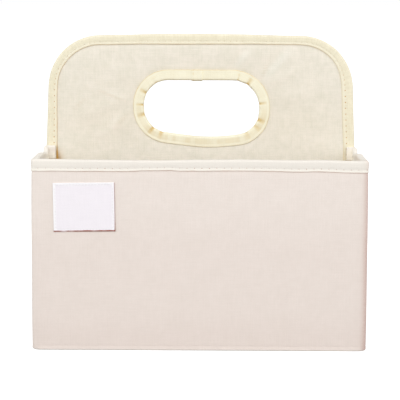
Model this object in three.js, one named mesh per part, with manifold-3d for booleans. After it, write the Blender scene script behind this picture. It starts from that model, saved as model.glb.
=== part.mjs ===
import * as THREE from "three";
import { mergeVertices } from "three/addons/utils/BufferGeometryUtils.js";
import Module from "manifold-3d";

const wasm = await Module();
wasm.setup();

// A carry caddy for diapers: cloth over stiff boards, open at the top, with an upright handle panel.
// All lengths are in millimetres. X runs to the right along the front wall, Y runs from front to back,
// and Z is up. The origin is the middle of the base, on the surface that the caddy stands on.

// Overall sizes, over the wall cloth and over the handle's binding.
const boxWidth = 316;
const boxDepth = 236;
const rimHeight = 183.4;
const handleHeight = 297.6;

// Layers of a wall and of the panel, and the clearance between layers.
const wallClothThickness = 1;
const wallBoardThickness = 2;
const liningThickness = 0.8;
const panelBoardThickness = 2;
const panelClothThickness = 0.8;
const tapeThickness = 0.8;
const baseClothThickness = 1;
const layerGap = 0.3;

// The folded tapes: how far each leg reaches from the fold, and how round the fold is.
const rimTapeOuterLeg = 11.1;
const rimTapeInnerLeg = 10.6;
const edgeTapeLeg = 10.2;
const holeTapeLeg = 10.6;
const tapeFoldRadius = 1.2;
const tightestBend = 0.6;

// The pouch walls: the flange that is sewn to the panel, and how the rim runs down to it and up again.
const flangeWidth = 9.7;
const thinningLength = 15;
const rimDip = 4.7;
const rimDipLength = 60;
const rimDipPlace = 6;
const backRimSag = 2.5;

// The handle panel's outline.
const panelSetBack = 1;
const panelTaper = 4.9;
const panelSideBendRadius = 300;
const shoulderRadius = 53;
const crownRise = 3.4;
const crownRadius = 2280;

// The hand opening, measured on the fold of its tape. It sits a little to the right, and its lower edge
// hangs lowest to the right of its own middle. Its four corners are all rounded differently.
const holeWidth = 117.3;
const holeHeight = 57.5;
const holeBelowCrown = 46.5;
const holeOffset = 1;
const holeUpperLeftRadius = 25;
const holeUpperRightRadius = 27.5;
const holeLowerRightRadius = 24.5;
const holeLowerLeftRadius = 26;
const holeFloorRadius = 170;
const holeLowestOffset = 9;
const holeLeftRise = 8.3;
const holeRightRise = 6.4;

// The label on the front wall.
const labelWidth = 57.4;
const labelHeight = 45.2;
const labelThickness = 0.8;
const labelCornerRadius = 1;
const labelFromSide = 20.2;
const labelBelowRim = 21.9;
const labelTilt = THREE.MathUtils.degToRad(-0.8);

// The loose floor inserts: a board in a cloth cover whose hem turns in underneath.
const insertBoardThickness = 2.5;
const insertClothThickness = 0.8;
const insertClearance = 1.5;
const insertCornerRadius = 6;
const insertHem = 14;

// How finely round stretches are divided.
const arcStep = THREE.MathUtils.degToRad(7.5);
const foldSteps = 6;
const tapeFoldSteps = 3;
const thinningSteps = 5;
const dipSteps = 7;
const sagSteps = 12;

// Values that follow from the sizes above.
const halfWidth = boxWidth / 2;
const halfDepth = boxDepth / 2;
const tapeBuild = layerGap + tapeThickness;
const floorLevel = baseClothThickness + layerGap;
const flangeThickness = wallClothThickness + layerGap + liningThickness;
const wallThickness = flangeThickness + wallBoardThickness + layerGap;
const panelClothFace = panelBoardThickness / 2 + layerGap + panelClothThickness;
const panelTapeFace = panelClothFace + tapeBuild;
const flangeFace = panelTapeFace + layerGap + tapeBuild;
const foldRadius = flangeThickness + tapeBuild + tightestBend;
const cornerRadius = wallThickness + tapeBuild + tightestBend;
const sideRunStart = flangeFace + foldRadius;
const foldRun = (foldRadius * Math.PI) / 2;
const boardOuterFace = wallClothThickness + layerGap;
const boardInnerFace = boardOuterFace + wallBoardThickness;

const finishes = {
  cloth: { color: 0xece2d9, roughness: 0.9 },
  panelCloth: { color: 0xe8e1d1, roughness: 0.9 },
  lining: { color: 0xe9dcc6, roughness: 0.92 },
  tape: { color: 0xf5efe6, roughness: 0.85 },
  binding: { color: 0xf3ebd2, roughness: 0.85 },
  label: { color: 0xf6f2f6, roughness: 0.8 },
  board: { color: 0xc9b08a, roughness: 0.95 },
};

const caddy = new THREE.Group();

/** Adds one named piece with a material of its own, and gives the mesh back. */
function addPiece(name, geometry, finish) {
  const material = new THREE.MeshStandardMaterial({ ...finishes[finish], metalness: 0 });
  const mesh = new THREE.Mesh(geometry, material);
  mesh.name = name;
  caddy.add(mesh);
  return mesh;
}

/**
 * Follows a line of corners clockwise and rounds each one that has a radius.
 * It gives points with their outward direction, so any line parallel to it is one step away.
 */
function roundedLine(corners, closed) {
  const line = [];
  corners.forEach((corner, index) => {
    const before = corners[index - 1] ?? (closed ? corners.at(-1) : null);
    const after = corners[index + 1] ?? (closed ? corners[0] : null);
    const [arriving, leaving] = [
      before && new THREE.Vector2(corner.x - before.x, corner.z - before.z).normalize(),
      after && new THREE.Vector2(after.x - corner.x, after.z - corner.z).normalize(),
    ];
    if (!arriving || !leaving) {
      const along = arriving ?? leaving;
      line.push({ x: corner.x, z: corner.z, outX: -along.y, outZ: along.x });
      return;
    }
    const turn = Math.acos(THREE.MathUtils.clamp(arriving.dot(leaving), -1, 1));
    const setBack = corner.radius * Math.tan(turn / 2);
    const centreX = corner.x - arriving.x * setBack + arriving.y * corner.radius;
    const centreZ = corner.z - arriving.y * setBack - arriving.x * corner.radius;
    const startAngle = Math.atan2(arriving.x, -arriving.y);
    const steps = 2 * Math.ceil(turn / (2 * arcStep));
    for (let step = 0; step <= steps; step += 1) {
      const angle = startAngle - (turn * step) / steps;
      const [outX, outZ] = [Math.cos(angle), Math.sin(angle)];
      line.push({
        x: centreX + outX * corner.radius,
        z: centreZ + outZ * corner.radius,
        outX,
        outZ,
      });
    }
  });
  return line;
}

/** The points of a rounded line, moved outwards by a distance, or inwards where it is negative. */
function movedOut(line, distance) {
  return line.map((p) => new THREE.Vector2(p.x + p.outX * distance, p.z + p.outZ * distance));
}

/** How far two straight runs meet beyond the arc that rounds their shallow corner. */
function beyondArc(radius, rise, run) {
  return radius * (Math.hypot(1, rise / run) - 1);
}

/** A section of folded tape: a channel whose mouth points down and whose fold is rounded. */
function channelSection(insideWidth, nearLeg, farLeg) {
  const outside = insideWidth + tapeThickness;
  const section = [
    [-tapeThickness, -nearLeg],
    [0, -nearLeg],
    [0, -tapeThickness],
    [insideWidth, -tapeThickness],
    [insideWidth, -farLeg],
    [outside, -farLeg],
  ];
  for (let step = 0; step <= tapeFoldSteps; step += 1) {
    const angle = (Math.PI / 2) * (step / tapeFoldSteps);
    section.push([
      outside - tapeFoldRadius * (1 - Math.cos(angle)),
      -tapeFoldRadius * (1 - Math.sin(angle)),
    ]);
  }
  for (let step = 0; step <= tapeFoldSteps; step += 1) {
    const angle = (Math.PI / 2) * (step / tapeFoldSteps);
    section.push([
      -tapeThickness + tapeFoldRadius * (1 - Math.sin(angle)),
      -tapeFoldRadius * (1 - Math.cos(angle)),
    ]);
  }
  return section;
}

/** A flat layer's section, between two depths and two heights. */
function layerSection(near, far, low, high) {
  return [[near, low], [far, low], [far, high], [near, high]];
}

/** Splits a section into triangles that all run the same way round. */
function sectionFaces(section) {
  const points = section.map(([across, along]) => new THREE.Vector2(across, along));
  return THREE.ShapeUtils.triangulateShape(points, []).map(([a, b, c]) => {
    const first = points[b].clone().sub(points[a]);
    const second = points[c].clone().sub(points[a]);
    return first.cross(second) > 0 ? [a, b, c] : [a, c, b];
  });
}

/** The signed volume of a closed set of triangles. It is negative where they face inwards. */
function signedVolume(points, faces) {
  const volumeOf = ([a, b, c]) => points[a].dot(points[b].clone().cross(points[c]));
  return faces.reduce((sum, face) => sum + volumeOf(face), 0);
}

/**
 * Carries a section through a row of stations and closes it into one body.
 * A station has a place, two directions for the section's two coordinates, and its section.
 */
function sweep(stations, closed) {
  const size = stations[0].section.length;
  const points = stations.flatMap(({ at, across, along, section }) =>
    section.map(([a, b]) => at.clone().addScaledVector(across, a).addScaledVector(along, b)));
  const faces = [];
  const spans = closed ? stations.length : stations.length - 1;
  for (let span = 0; span < spans; span += 1) {
    const here = span * size;
    const next = ((span + 1) % stations.length) * size;
    for (let side = 0; side < size; side += 1) {
      const other = (side + 1) % size;
      faces.push([here + side, here + other, next + other]);
      faces.push([here + side, next + other, next + side]);
    }
  }
  if (!closed) {
    const last = (stations.length - 1) * size;
    sectionFaces(stations[0].section).forEach(([a, b, c]) => faces.push([a, c, b]));
    sectionFaces(stations.at(-1).section).forEach((face) => faces.push(face.map((point) => last + point)));
  }
  const outwards = signedVolume(points, faces) > 0;
  const geometry = new THREE.BufferGeometry().setFromPoints(points);
  geometry.setIndex(faces.flatMap(([a, b, c]) => (outwards ? [a, b, c] : [a, c, b])));
  geometry.computeVertexNormals();
  return geometry;
}

/** A rectangle with round corners, drawn about a centre. */
function roundedRectangle(width, depth, radius) {
  const [x, y] = [width / 2 - radius, depth / 2 - radius];
  const shape = new THREE.Shape();
  shape.absarc(x, y, radius, 0, Math.PI / 2);
  shape.absarc(-x, y, radius, Math.PI / 2, Math.PI);
  shape.absarc(-x, -y, radius, Math.PI, 1.5 * Math.PI);
  shape.absarc(x, -y, radius, 1.5 * Math.PI, 2 * Math.PI);
  return shape;
}

/** A lying slab of a shape between two heights. */
function lyingSlab(shape, bottom, top) {
  const options = { depth: top - bottom, bevelEnabled: false, curveSegments: foldSteps };
  return new THREE.ExtrudeGeometry(shape, options).translate(0, 0, bottom);
}

/** A standing slab of a shape between two planes, from the nearer Y to the farther Y. */
function standingSlab(shape, nearY, farY) {
  const options = { depth: farY - nearY, bevelEnabled: false, curveSegments: foldSteps };
  return new THREE.ExtrudeGeometry(shape, options).rotateX(Math.PI / 2).translate(0, farY, 0);
}

/** Makes a solid that can be cut from a geometry. */
function solidOf(geometry) {
  geometry.deleteAttribute("normal");
  geometry.deleteAttribute("uv");
  const merged = mergeVertices(geometry);
  const mesh = new wasm.Mesh({
    numProp: 3,
    vertProperties: merged.attributes.position.array,
    triVerts: new Uint32Array(merged.index.array),
  });
  return new wasm.Manifold(mesh);
}

/** Makes a geometry from a cut solid. */
function geometryOf(solid) {
  const mesh = solid.getMesh();
  const geometry = new THREE.BufferGeometry();
  geometry.setAttribute("position", new THREE.BufferAttribute(mesh.vertProperties, 3));
  geometry.setIndex(new THREE.BufferAttribute(mesh.triVerts, 1));
  geometry.computeVertexNormals();
  return geometry;
}

/** The handle panel's outline, on the fold of its tape, from the lower left over the crown. */
function panelLine() {
  const foot = halfWidth - panelSetBack;
  const shoulder = foot - panelTaper;
  const crown = handleHeight + beyondArc(crownRadius, crownRise, shoulder);
  return roundedLine([
    { x: -foot, z: floorLevel },
    { x: -foot, z: rimHeight, radius: panelSideBendRadius },
    { x: -shoulder, z: crown - crownRise, radius: shoulderRadius },
    { x: 0, z: crown, radius: crownRadius },
    { x: shoulder, z: crown - crownRise, radius: shoulderRadius },
    { x: foot, z: rimHeight, radius: panelSideBendRadius },
    { x: foot, z: floorLevel },
  ], false);
}

/** The hand opening's outline: a flat top, round ends and a gently hanging lower edge. */
function holeLine() {
  const [left, right] = [holeOffset - holeWidth / 2, holeOffset + holeWidth / 2];
  const lowest = holeOffset + holeLowestOffset;
  const top = handleHeight - holeBelowCrown;
  const floor = top - holeHeight - beyondArc(holeFloorRadius, holeLeftRise, lowest - left);
  return roundedLine([
    { x: left, z: top, radius: holeUpperLeftRadius },
    { x: right, z: top, radius: holeUpperRightRadius },
    { x: right, z: floor + holeRightRise, radius: holeLowerRightRadius },
    { x: lowest, z: floor, radius: holeFloorRadius },
    { x: left, z: floor + holeLeftRise, radius: holeLowerLeftRadius },
  ], true);
}

/** Stations that carry a tape's channel along an outline of the panel, open towards the panel. */
function tapeStations(line, outwards, leg) {
  const insideHalf = panelClothFace + layerGap;
  return line.map(({ x, z, outX, outZ }) => ({
    at: new THREE.Vector3(x, -insideHalf, z),
    across: new THREE.Vector3(0, 1, 0),
    along: new THREE.Vector3(outX * outwards, 0, outZ * outwards),
    section: channelSection(2 * insideHalf, leg, leg),
  }));
}

/** The upright panel: a board between two cloth faces, with tape round its edge and its hand opening. */
function addHandlePanel() {
  const edge = panelLine();
  const hole = holeLine();
  const layer = new THREE.Shape(movedOut(edge, -tapeBuild).reverse());
  layer.holes.push(new THREE.Path(movedOut(hole, tapeBuild)));
  const boardFace = panelBoardThickness / 2;
  const clothBack = boardFace + layerGap;
  addPiece("handle_board", standingSlab(layer, -boardFace, boardFace), "board");
  addPiece("handle_front_cover", standingSlab(layer, -panelClothFace, -clothBack), "panelCloth");
  addPiece("handle_back_cover", standingSlab(layer, clothBack, panelClothFace), "panelCloth");
  addPiece("handle_edge_binding", sweep(tapeStations(edge, 1, edgeTapeLeg), false), "binding");
  addPiece("hand_hole_binding", sweep(tapeStations(hole, -1, holeTapeLeg), true), "binding");
}

/** How far the rim lies below its full height, at a run along the side wall from the end of the fold. */
function rimDropAt(run) {
  const past = run - rimDipPlace;
  const length = past > 0 ? rimDipLength - rimDipPlace : rimDipPlace;
  return (rimDip * (1 + Math.cos(Math.PI * Math.min(1, Math.abs(past) / length)))) / 2;
}

/** How thick the wall is there: the board ends before the fold, so only the two cloths turn in. */
function wallThicknessAt(run) {
  const share = THREE.MathUtils.clamp(run / thinningLength, 0, 1);
  return THREE.MathUtils.lerp(flangeThickness, wallThickness, share);
}

/**
 * The left half of a pouch wall's plan, on the outer face of its cloth: flange, fold, side and corner.
 * out is the distance from the panel's middle plane, and inX and inOut point into the pouch.
 */
function halfWallPlan() {
  const plan = [];
  const flangeRun = foldRun + flangeWidth - foldRadius;
  plan.push({ x: flangeWidth - halfWidth, out: flangeFace, inX: 0, inOut: 1, run: -flangeRun });
  for (let step = 0; step <= foldSteps; step += 1) {
    const angle = (Math.PI / 2) * (step / foldSteps);
    const [inX, inOut] = [Math.sin(angle), Math.cos(angle)];
    plan.push({
      x: foldRadius - halfWidth - foldRadius * inX,
      out: sideRunStart - foldRadius * inOut,
      inX,
      inOut,
      run: -foldRun * (1 - step / foldSteps),
    });
  }
  const sideAt = (run) => ({ x: -halfWidth, out: sideRunStart + run, inX: 1, inOut: 0, run });
  for (let step = 1; step <= thinningSteps; step += 1) {
    plan.push(sideAt((thinningLength * step) / thinningSteps));
  }
  for (let step = 1; step <= dipSteps; step += 1) {
    plan.push(sideAt(THREE.MathUtils.lerp(thinningLength, rimDipLength, step / dipSteps)));
  }
  for (let step = 0; step <= foldSteps; step += 1) {
    const angle = (Math.PI / 2) * (step / foldSteps);
    const [inX, inOut] = [Math.cos(angle), -Math.sin(angle)];
    plan.push({
      x: cornerRadius - halfWidth - cornerRadius * inX,
      out: halfDepth - cornerRadius - cornerRadius * inOut,
      inX,
      inOut,
      run: halfDepth,
    });
  }
  return plan;
}

/** The whole plan of a pouch wall, with the rim's height and the wall's thickness at every place. */
function wallPlan(rimSag) {
  const left = halfWallPlan();
  const right = left.toReversed().map((place) => ({ ...place, x: -place.x, inX: -place.inX }));
  const rimHalf = halfWidth - cornerRadius;
  const middle = [];
  const steps = rimSag > 0 ? sagSteps : 1;
  for (let step = 1; step < steps; step += 1) {
    const x = THREE.MathUtils.lerp(-rimHalf, rimHalf, step / steps);
    const sag = rimSag * Math.cos((Math.PI / 2) * (x / rimHalf)) ** 2;
    middle.push({ x, out: halfDepth, inX: 0, inOut: -1, run: halfDepth, sag });
  }
  return [...left, ...middle, ...right].map((place) => ({
    ...place,
    rim: rimHeight - rimDropAt(place.run) - (place.sag ?? 0),
    thickness: wallThicknessAt(place.run),
  }));
}

/** Stations of a pouch wall on one side of the panel, with a section that depends on the place. */
function wallStations(plan, side, sectionAt) {
  return plan.map((place) => ({
    at: new THREE.Vector3(place.x, side * place.out, 0),
    across: new THREE.Vector3(place.inX, side * place.inOut, 0),
    along: new THREE.Vector3(0, 0, 1),
    section: sectionAt(place),
  }));
}

/** The folded tape over a pouch wall's rim, which runs on over both flanges. */
function rimTape(plan, side) {
  return sweep(wallStations(plan, side, ({ rim, thickness }) =>
    channelSection(thickness + 2 * layerGap, rimTapeOuterLeg, rimTapeInnerLeg)
      .map(([across, along]) => [across - layerGap, along + rim])), false);
}

/** The stiff board of a side wall. It is cut straight, and lower towards the panel, where the rim dips. */
function sideBoard(side) {
  const start = sideRunStart + thinningLength + layerGap;
  const end = halfDepth - cornerRadius;
  const outline = new THREE.Shape([
    new THREE.Vector2(side * start, floorLevel),
    new THREE.Vector2(side * end, floorLevel),
    new THREE.Vector2(side * end, rimHeight - tapeBuild),
    new THREE.Vector2(side * start, rimHeight - rimDropAt(start - sideRunStart) - tapeBuild),
  ]);
  const options = { depth: wallBoardThickness, bevelEnabled: false };
  return new THREE.ExtrudeGeometry(outline, options).rotateX(Math.PI / 2).rotateZ(Math.PI / 2);
}

/** One pouch: outer cloth, boards, lining and rim tape, in front of the panel or behind it. */
function addPouch({ label, side, rimSag }) {
  const plan = wallPlan(rimSag);
  const cover = wallStations(plan, side, ({ rim }) =>
    layerSection(0, wallClothThickness, floorLevel, rim - tapeBuild));
  const lining = wallStations(plan, side, ({ rim, thickness }) =>
    layerSection(thickness - liningThickness, thickness, floorLevel, rim - tapeBuild));
  addPiece(`${label}_wall_cover`, sweep(cover, false), "cloth");
  addPiece(`${label}_wall_lining`, sweep(lining, false), "lining");
  addPiece(`${label}_rim_tape`, rimTape(plan, side), "tape");

  const boardTop = rimHeight - tapeBuild - rimSag;
  const boardWidth = 2 * (halfWidth - cornerRadius);
  const wallBoard = new THREE.BoxGeometry(boardWidth, wallBoardThickness, boardTop - floorLevel);
  addPiece(`${label}_wall_board`, wallBoard, "board")
    .position.set(0, side * (halfDepth - (boardOuterFace + boardInnerFace) / 2), (boardTop + floorLevel) / 2);
  addPiece(`${label}_left_side_board`, sideBoard(side), "board").position.x = boardOuterFace - halfWidth;
  addPiece(`${label}_right_side_board`, sideBoard(side), "board").position.x = halfWidth - boardInnerFace;
}

/** The bare label that is sewn flat on the front wall. */
function addLabel() {
  const shape = roundedRectangle(labelWidth, labelHeight, labelCornerRadius);
  const back = -halfDepth - layerGap;
  const label = addPiece("label_patch", standingSlab(shape, -labelThickness, 0), "label");
  label.position.set(
    labelFromSide + labelWidth / 2 - halfWidth,
    back,
    rimHeight - labelBelowRim - labelHeight / 2,
  );
  label.rotation.y = labelTilt;
}

/** The bottom cloth that the walls and the panel stand on and are sewn to. */
function addBase() {
  const shape = roundedRectangle(boxWidth, boxDepth, cornerRadius);
  addPiece("base_cover", lyingSlab(shape, 0, baseClothThickness), "cloth");
}

/** A loose floor insert: a stiff board in a cloth cover that is open underneath inside its hem. */
function addInsert({ label, side }) {
  const near = flangeFace + flangeThickness + tapeBuild + insertClearance;
  const far = halfDepth - wallThickness - tapeBuild - insertClearance;
  const width = 2 * (halfWidth - wallThickness - tapeBuild - insertClearance);
  const depth = far - near;
  const around = insertClothThickness + layerGap;
  const height = insertBoardThickness + 2 * around;
  const outlineAt = (inset) =>
    roundedRectangle(width - 2 * inset, depth - 2 * inset, insertCornerRadius - Math.min(inset, around));
  const board = lyingSlab(outlineAt(around), around, height - around);
  const cloth = insertClothThickness;
  const pocket = solidOf(lyingSlab(outlineAt(cloth), cloth, height - cloth));
  const mouth = solidOf(lyingSlab(outlineAt(insertHem), -cloth, height / 2));
  const cover = solidOf(lyingSlab(outlineAt(0), 0, height)).subtract(pocket).subtract(mouth);
  const centre = (side * (near + far)) / 2;
  addPiece(`${label}_base_board`, board, "board").position.set(0, centre, floorLevel);
  addPiece(`${label}_base_board_cover`, geometryOf(cover), "lining").position.set(0, centre, floorLevel);
}

const pouches = [
  { label: "front", side: -1, rimSag: 0 },
  { label: "back", side: 1, rimSag: backRimSag },
];

addBase();
addHandlePanel();
pouches.forEach(addPouch);
pouches.forEach(addInsert);
addLabel();

export default caddy;
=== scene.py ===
"""A cloth-covered carry caddy for diapers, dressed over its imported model.

Lengths are millimetres until a mesh is finished, and finished meshes are in metres. X runs to the right
along the front wall, Y from front to back and Z up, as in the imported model.
"""

import logging
import math
from bisect import bisect_right
from collections.abc import Callable, Mapping, Sequence
from dataclasses import dataclass
from enum import Enum
from functools import cached_property
from typing import NamedTuple

import bmesh
import bpy
import numpy as np
from mathutils import Matrix, Vector, kdtree, noise


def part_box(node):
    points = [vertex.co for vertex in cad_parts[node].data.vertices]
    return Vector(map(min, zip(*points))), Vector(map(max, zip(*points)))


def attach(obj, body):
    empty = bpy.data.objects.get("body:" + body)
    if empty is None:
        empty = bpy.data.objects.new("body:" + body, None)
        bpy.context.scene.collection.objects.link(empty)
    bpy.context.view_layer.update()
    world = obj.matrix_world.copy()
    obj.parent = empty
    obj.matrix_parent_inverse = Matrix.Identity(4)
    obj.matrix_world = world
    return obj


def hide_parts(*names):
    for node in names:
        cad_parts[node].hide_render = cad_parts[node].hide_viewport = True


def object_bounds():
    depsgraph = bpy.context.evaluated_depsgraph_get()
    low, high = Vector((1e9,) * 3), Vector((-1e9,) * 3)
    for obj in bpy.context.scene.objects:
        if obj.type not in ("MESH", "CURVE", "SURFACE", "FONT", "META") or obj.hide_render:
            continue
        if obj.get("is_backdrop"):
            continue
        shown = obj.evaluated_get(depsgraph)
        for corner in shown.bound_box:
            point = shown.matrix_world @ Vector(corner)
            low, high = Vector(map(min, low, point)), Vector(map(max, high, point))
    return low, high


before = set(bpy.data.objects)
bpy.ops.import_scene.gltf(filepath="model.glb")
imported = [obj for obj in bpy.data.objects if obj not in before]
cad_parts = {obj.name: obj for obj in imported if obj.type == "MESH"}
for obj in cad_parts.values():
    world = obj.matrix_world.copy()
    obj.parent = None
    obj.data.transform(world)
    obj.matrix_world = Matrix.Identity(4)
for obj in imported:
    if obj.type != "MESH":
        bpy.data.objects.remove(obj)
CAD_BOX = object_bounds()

LOG = logging.getLogger("caddy")
MM = 0.001
ROOT = "root"
FLAT_MAP = "flat_pattern"
SHADE = "shade"
QUARTER = math.pi / 2
WHITE = (1.0, 1.0, 1.0, 1.0)
SHALLOW_RADIUS = 150.0

Laying = Callable[[float, float], Vector]
Shading = Callable[[float, float], float]
Colour = tuple[float, float, float]


class Slot(Enum):
    """The material slots that the cloths' and threads' finishes are listed under."""

    OUTER_CLOTH = "outer_cloth"
    PANEL_CLOTH = "panel_cloth"
    LINING_CLOTH = "lining_cloth"
    RIM_TAPE = "rim_tape"
    BINDING_TAPE = "binding_tape"
    LABEL_CLOTH = "label_cloth"


class Side(Enum):
    """The side of the handle panel that a pouch or a cloth is on, as the sign of its Y."""

    FRONT = -1
    BACK = 1

    @property
    def label(self) -> str:
        """The word that the names of this side's pieces begin with."""
        return self.name.lower()


# Lines and small numbers


def smooth_step(low: float, high: float, value: float) -> float:
    """Rises from 0 at low to 1 at high, with soft ends."""
    share = min(1.0, max(0.0, (value - low) / (high - low)))
    return share * share * (3 - 2 * share)


def ridge(value: float, width: float) -> float:
    """A soft bump that is 1 at a value of 0 and has nearly gone at twice the width."""
    return math.exp(-((value / width) ** 2))


def ripple(x: float, y: float, z: float = 0.0) -> float:
    """Even, seedless noise between about -1 and 1."""
    return noise.noise(Vector((x, y, z)))


def eased(steps: Sequence[tuple[float, float]], place: float) -> float:
    """Reads a list of places and values, with an easy curve from each value to the next."""
    if place <= steps[0][0]:
        return steps[0][1]
    for (start, low), (end, high) in zip(steps, steps[1:]):
        if place < end:
            return low + (high - low) * smooth_step(start, end, place)
    return steps[-1][1]


def beyond_arc(radius: float, rise: float, run: float) -> float:
    """How far two straight runs meet beyond the arc that rounds their shallow corner."""
    return radius * (math.hypot(1, rise / run) - 1)


@dataclass(frozen=True)
class Corner:
    """A corner of a drawn line, and the radius that rounds it."""

    across: float
    up: float
    radius: float = 0.0


@dataclass(frozen=True)
class Stretch:
    """A straight or an arc of a line that is followed clockwise. A straight has no radius."""

    start: Vector
    along: Vector
    length: float
    radius: float = 0.0

    def at(self, run: float) -> tuple[Vector, Vector]:
        """Finds a place on the stretch.

        Args:
            run: the length along the stretch from its start.

        Returns:
            The point, and the direction outwards there.
        """
        outwards = Vector((-self.along.y, self.along.x))
        if not self.radius:
            return self.start + self.along * run, outwards
        turned = Matrix.Rotation(-run / self.radius, 2) @ outwards
        return self.start + (turned - outwards) * self.radius, turned


class RoundedLine:
    """A line of corners followed clockwise, each rounded by its radius and measured by the run along it."""

    def __init__(self, corners: Sequence[Corner], closed: bool = False) -> None:
        """Lays out the stretches.

        Args:
            corners: the corners in order. The line is outwards on its left.
            closed: whether the last corner joins the first.
        """
        points = [Vector((corner.across, corner.up)) for corner in corners]
        count = len(points)
        sides = count if closed else count - 1
        ways = [(points[(i + 1) % count] - points[i]).normalized() for i in range(sides)]
        turns = [0.0] * count
        for i in range(0 if closed else 1, count if closed else count - 1):
            turns[i] = ways[i - 1].angle(ways[i]) if corners[i].radius else 0.0
        backs = [corner.radius * math.tan(turn / 2) for corner, turn in zip(corners, turns)]
        self.stretches: list[Stretch] = []
        for i in range(sides):
            after = (i + 1) % count
            length = (points[after] - points[i]).length - backs[i] - backs[after]
            self._add(Stretch(points[i] + ways[i] * backs[i], ways[i], length))
            radius = corners[after].radius
            self._add(Stretch(points[after] - ways[i] * backs[after], ways[i], radius * turns[after], radius))
        self.starts = [0.0, *np.cumsum([stretch.length for stretch in self.stretches]).tolist()]
        self.length = self.starts[-1]

    def _add(self, stretch: Stretch) -> None:
        """Keeps a stretch unless it has no length."""
        if stretch.length > 1e-6:
            self.stretches.append(stretch)

    def at(self, run: float) -> tuple[Vector, Vector]:
        """Finds a place on the line.

        Args:
            run: the length along the line. Beyond an end, the last stretch runs on.

        Returns:
            The point, and the direction outwards there.
        """
        index = min(max(bisect_right(self.starts, run) - 1, 0), len(self.stretches) - 1)
        return self.stretches[index].at(run - self.starts[index])

    def columns(self, pitch: float, arc_pitch: float) -> list[float]:
        """Divides the line.

        Args:
            pitch: the longest step on straights and shallow arcs.
            arc_pitch: the longest step on the other arcs.

        Returns:
            The runs of the divisions, with every joint between stretches among them.
        """
        runs = [0.0]
        for start, stretch in zip(self.starts, self.stretches):
            step = arc_pitch if 0 < stretch.radius < SHALLOW_RADIUS else pitch
            count = math.ceil(stretch.length / step)
            runs += [start + stretch.length * (i + 1) / count for i in range(count)]
        return runs

    def run_nearest(self, x: float, up: float) -> float:
        """The run of the place that is nearest to a point."""
        spot = Vector((x, up))
        return min(self.columns(0.5, 0.5), key=lambda run: (self.at(run)[0] - spot).length)


def even_rows(low: float, high: float, pitch: float) -> list[float]:
    """Even divisions from low to high that are at most a pitch apart."""
    return np.linspace(low, high, math.ceil((high - low) / pitch) + 1).tolist()


# Cloth and thread


def project_flat(mesh: bmesh.types.BMesh) -> None:
    """Lays the flat pattern on each face from the side that it faces most, and adds a missing shade."""
    flat_map = mesh.loops.layers.uv.new(FLAT_MAP)
    if SHADE not in mesh.verts.layers.float.keys():
        mesh.verts.layers.float.new(SHADE)
    mesh.normal_update()
    for face in mesh.faces:
        drop = max(range(3), key=lambda axis: abs(face.normal[axis]))
        kept = [axis for axis in range(3) if axis != drop]
        for corner in face.loops:
            corner[flat_map].uv = [corner.vert.co[axis] * MM for axis in kept]


def round_off(
    mesh: bmesh.types.BMesh, parts: list, radius: float, segments: int, kind: str = "EDGES"
) -> None:
    """Rounds edges of a mesh, or the corners of its outline."""
    rounding = {"offset": radius, "segments": segments, "profile": 0.5, "affect": kind, "material": -1}
    bmesh.ops.bevel(mesh, geom=parts, **rounding)
    mesh.normal_update()


def leg_of(full: float, girth: float) -> tuple[bool, float]:
    """Whether a girth is on a folded tape's second leg, and how far it is from that leg's free edge."""
    second = girth > full / 2
    return second, full - girth if second else girth


@dataclass(frozen=True)
class ClothCut:
    """A cloth cut flat: the runs of its columns and the girths of its rows."""

    columns: Sequence[float]
    rows: Sequence[float]

    @property
    def flat(self) -> tuple[float, float]:
        """The flat width and length in metres."""
        return (self.columns[-1] - self.columns[0]) * MM, (self.rows[-1] - self.rows[0]) * MM

    @staticmethod
    def _pick(values: Sequence[float], share: float) -> float:
        """The value of the grid line at a share from -1 to 1."""
        return values[round((share + 1) / 2 * (len(values) - 1))]

    def laid(self, lay: Laying, shade: Shading) -> bmesh.types.BMesh:
        """Makes the flat sheet and lays it where it is sewn.

        Args:
            lay: gives the place of a run and a girth.
            shade: gives how deep the cloth's colour is there, up to 1, or how pale where it is below 0, which
                paints shade and light as well as marks.

        Returns:
            The laid sheet, with its flat pattern as a UV map.
        """
        sheet = bmesh.new()
        flat_map = sheet.loops.layers.uv.new(FLAT_MAP)
        depth = sheet.verts.layers.float.new(SHADE)
        columns, rows = len(self.columns) - 1, len(self.rows) - 1
        bmesh.ops.create_grid(sheet, x_segments=columns, y_segments=rows, size=1.0)
        cut = {v: (self._pick(self.columns, v.co.x), self._pick(self.rows, v.co.y)) for v in sheet.verts}
        for face in sheet.faces:
            for corner in face.loops:
                corner[flat_map].uv = Vector(cut[corner.vert]) * MM
        for vert, (run, girth) in cut.items():
            vert[depth] = shade(run, girth)
            vert.co = lay(run, girth)
        return sheet


@dataclass(frozen=True)
class StitchRow:
    """A row of machine stitches: their pitch, the thread's length and thickness in one, and its squash."""

    pitch: float
    length: float
    thread: float
    squash: tuple[float, float] = (0.6, 0.5)

    def sew(
        self, mesh: bmesh.types.BMesh, lay: Laying, girth: float, ends: tuple[float, float], lift: float
    ) -> None:
        """Adds the stitches of one row to a mesh.

        Args:
            mesh: takes the stitches.
            lay: the cloth's own laying.
            girth: where the row is on the cloth.
            ends: the runs at which the row starts and ends.
            lift: how far the threads' middles lie off the cloth's, on the side that its girth turns to.
        """
        nearby = 0.2
        for number in range(math.ceil(ends[0] / self.pitch), math.floor(ends[1] / self.pitch)):
            middle = (number + 0.5) * self.pitch
            start, end = (lay(middle + way * self.length / 2, girth) for way in (-1, 1))
            along = (end - start).normalized()
            off = along.cross(lay(middle, girth + nearby) - lay(middle, girth - nearby)).normalized()
            place = Matrix.Translation((start + end) / 2 + off * lift)
            turn = Matrix((off.cross(along), off, along)).transposed().to_4x4()
            size = Matrix.Diagonal((*(self.thread * share for share in self.squash), self.length / 2, 1))
            thread = place @ turn @ size
            bmesh.ops.create_uvsphere(mesh, u_segments=6, v_segments=4, radius=1.0, matrix=thread)


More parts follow.
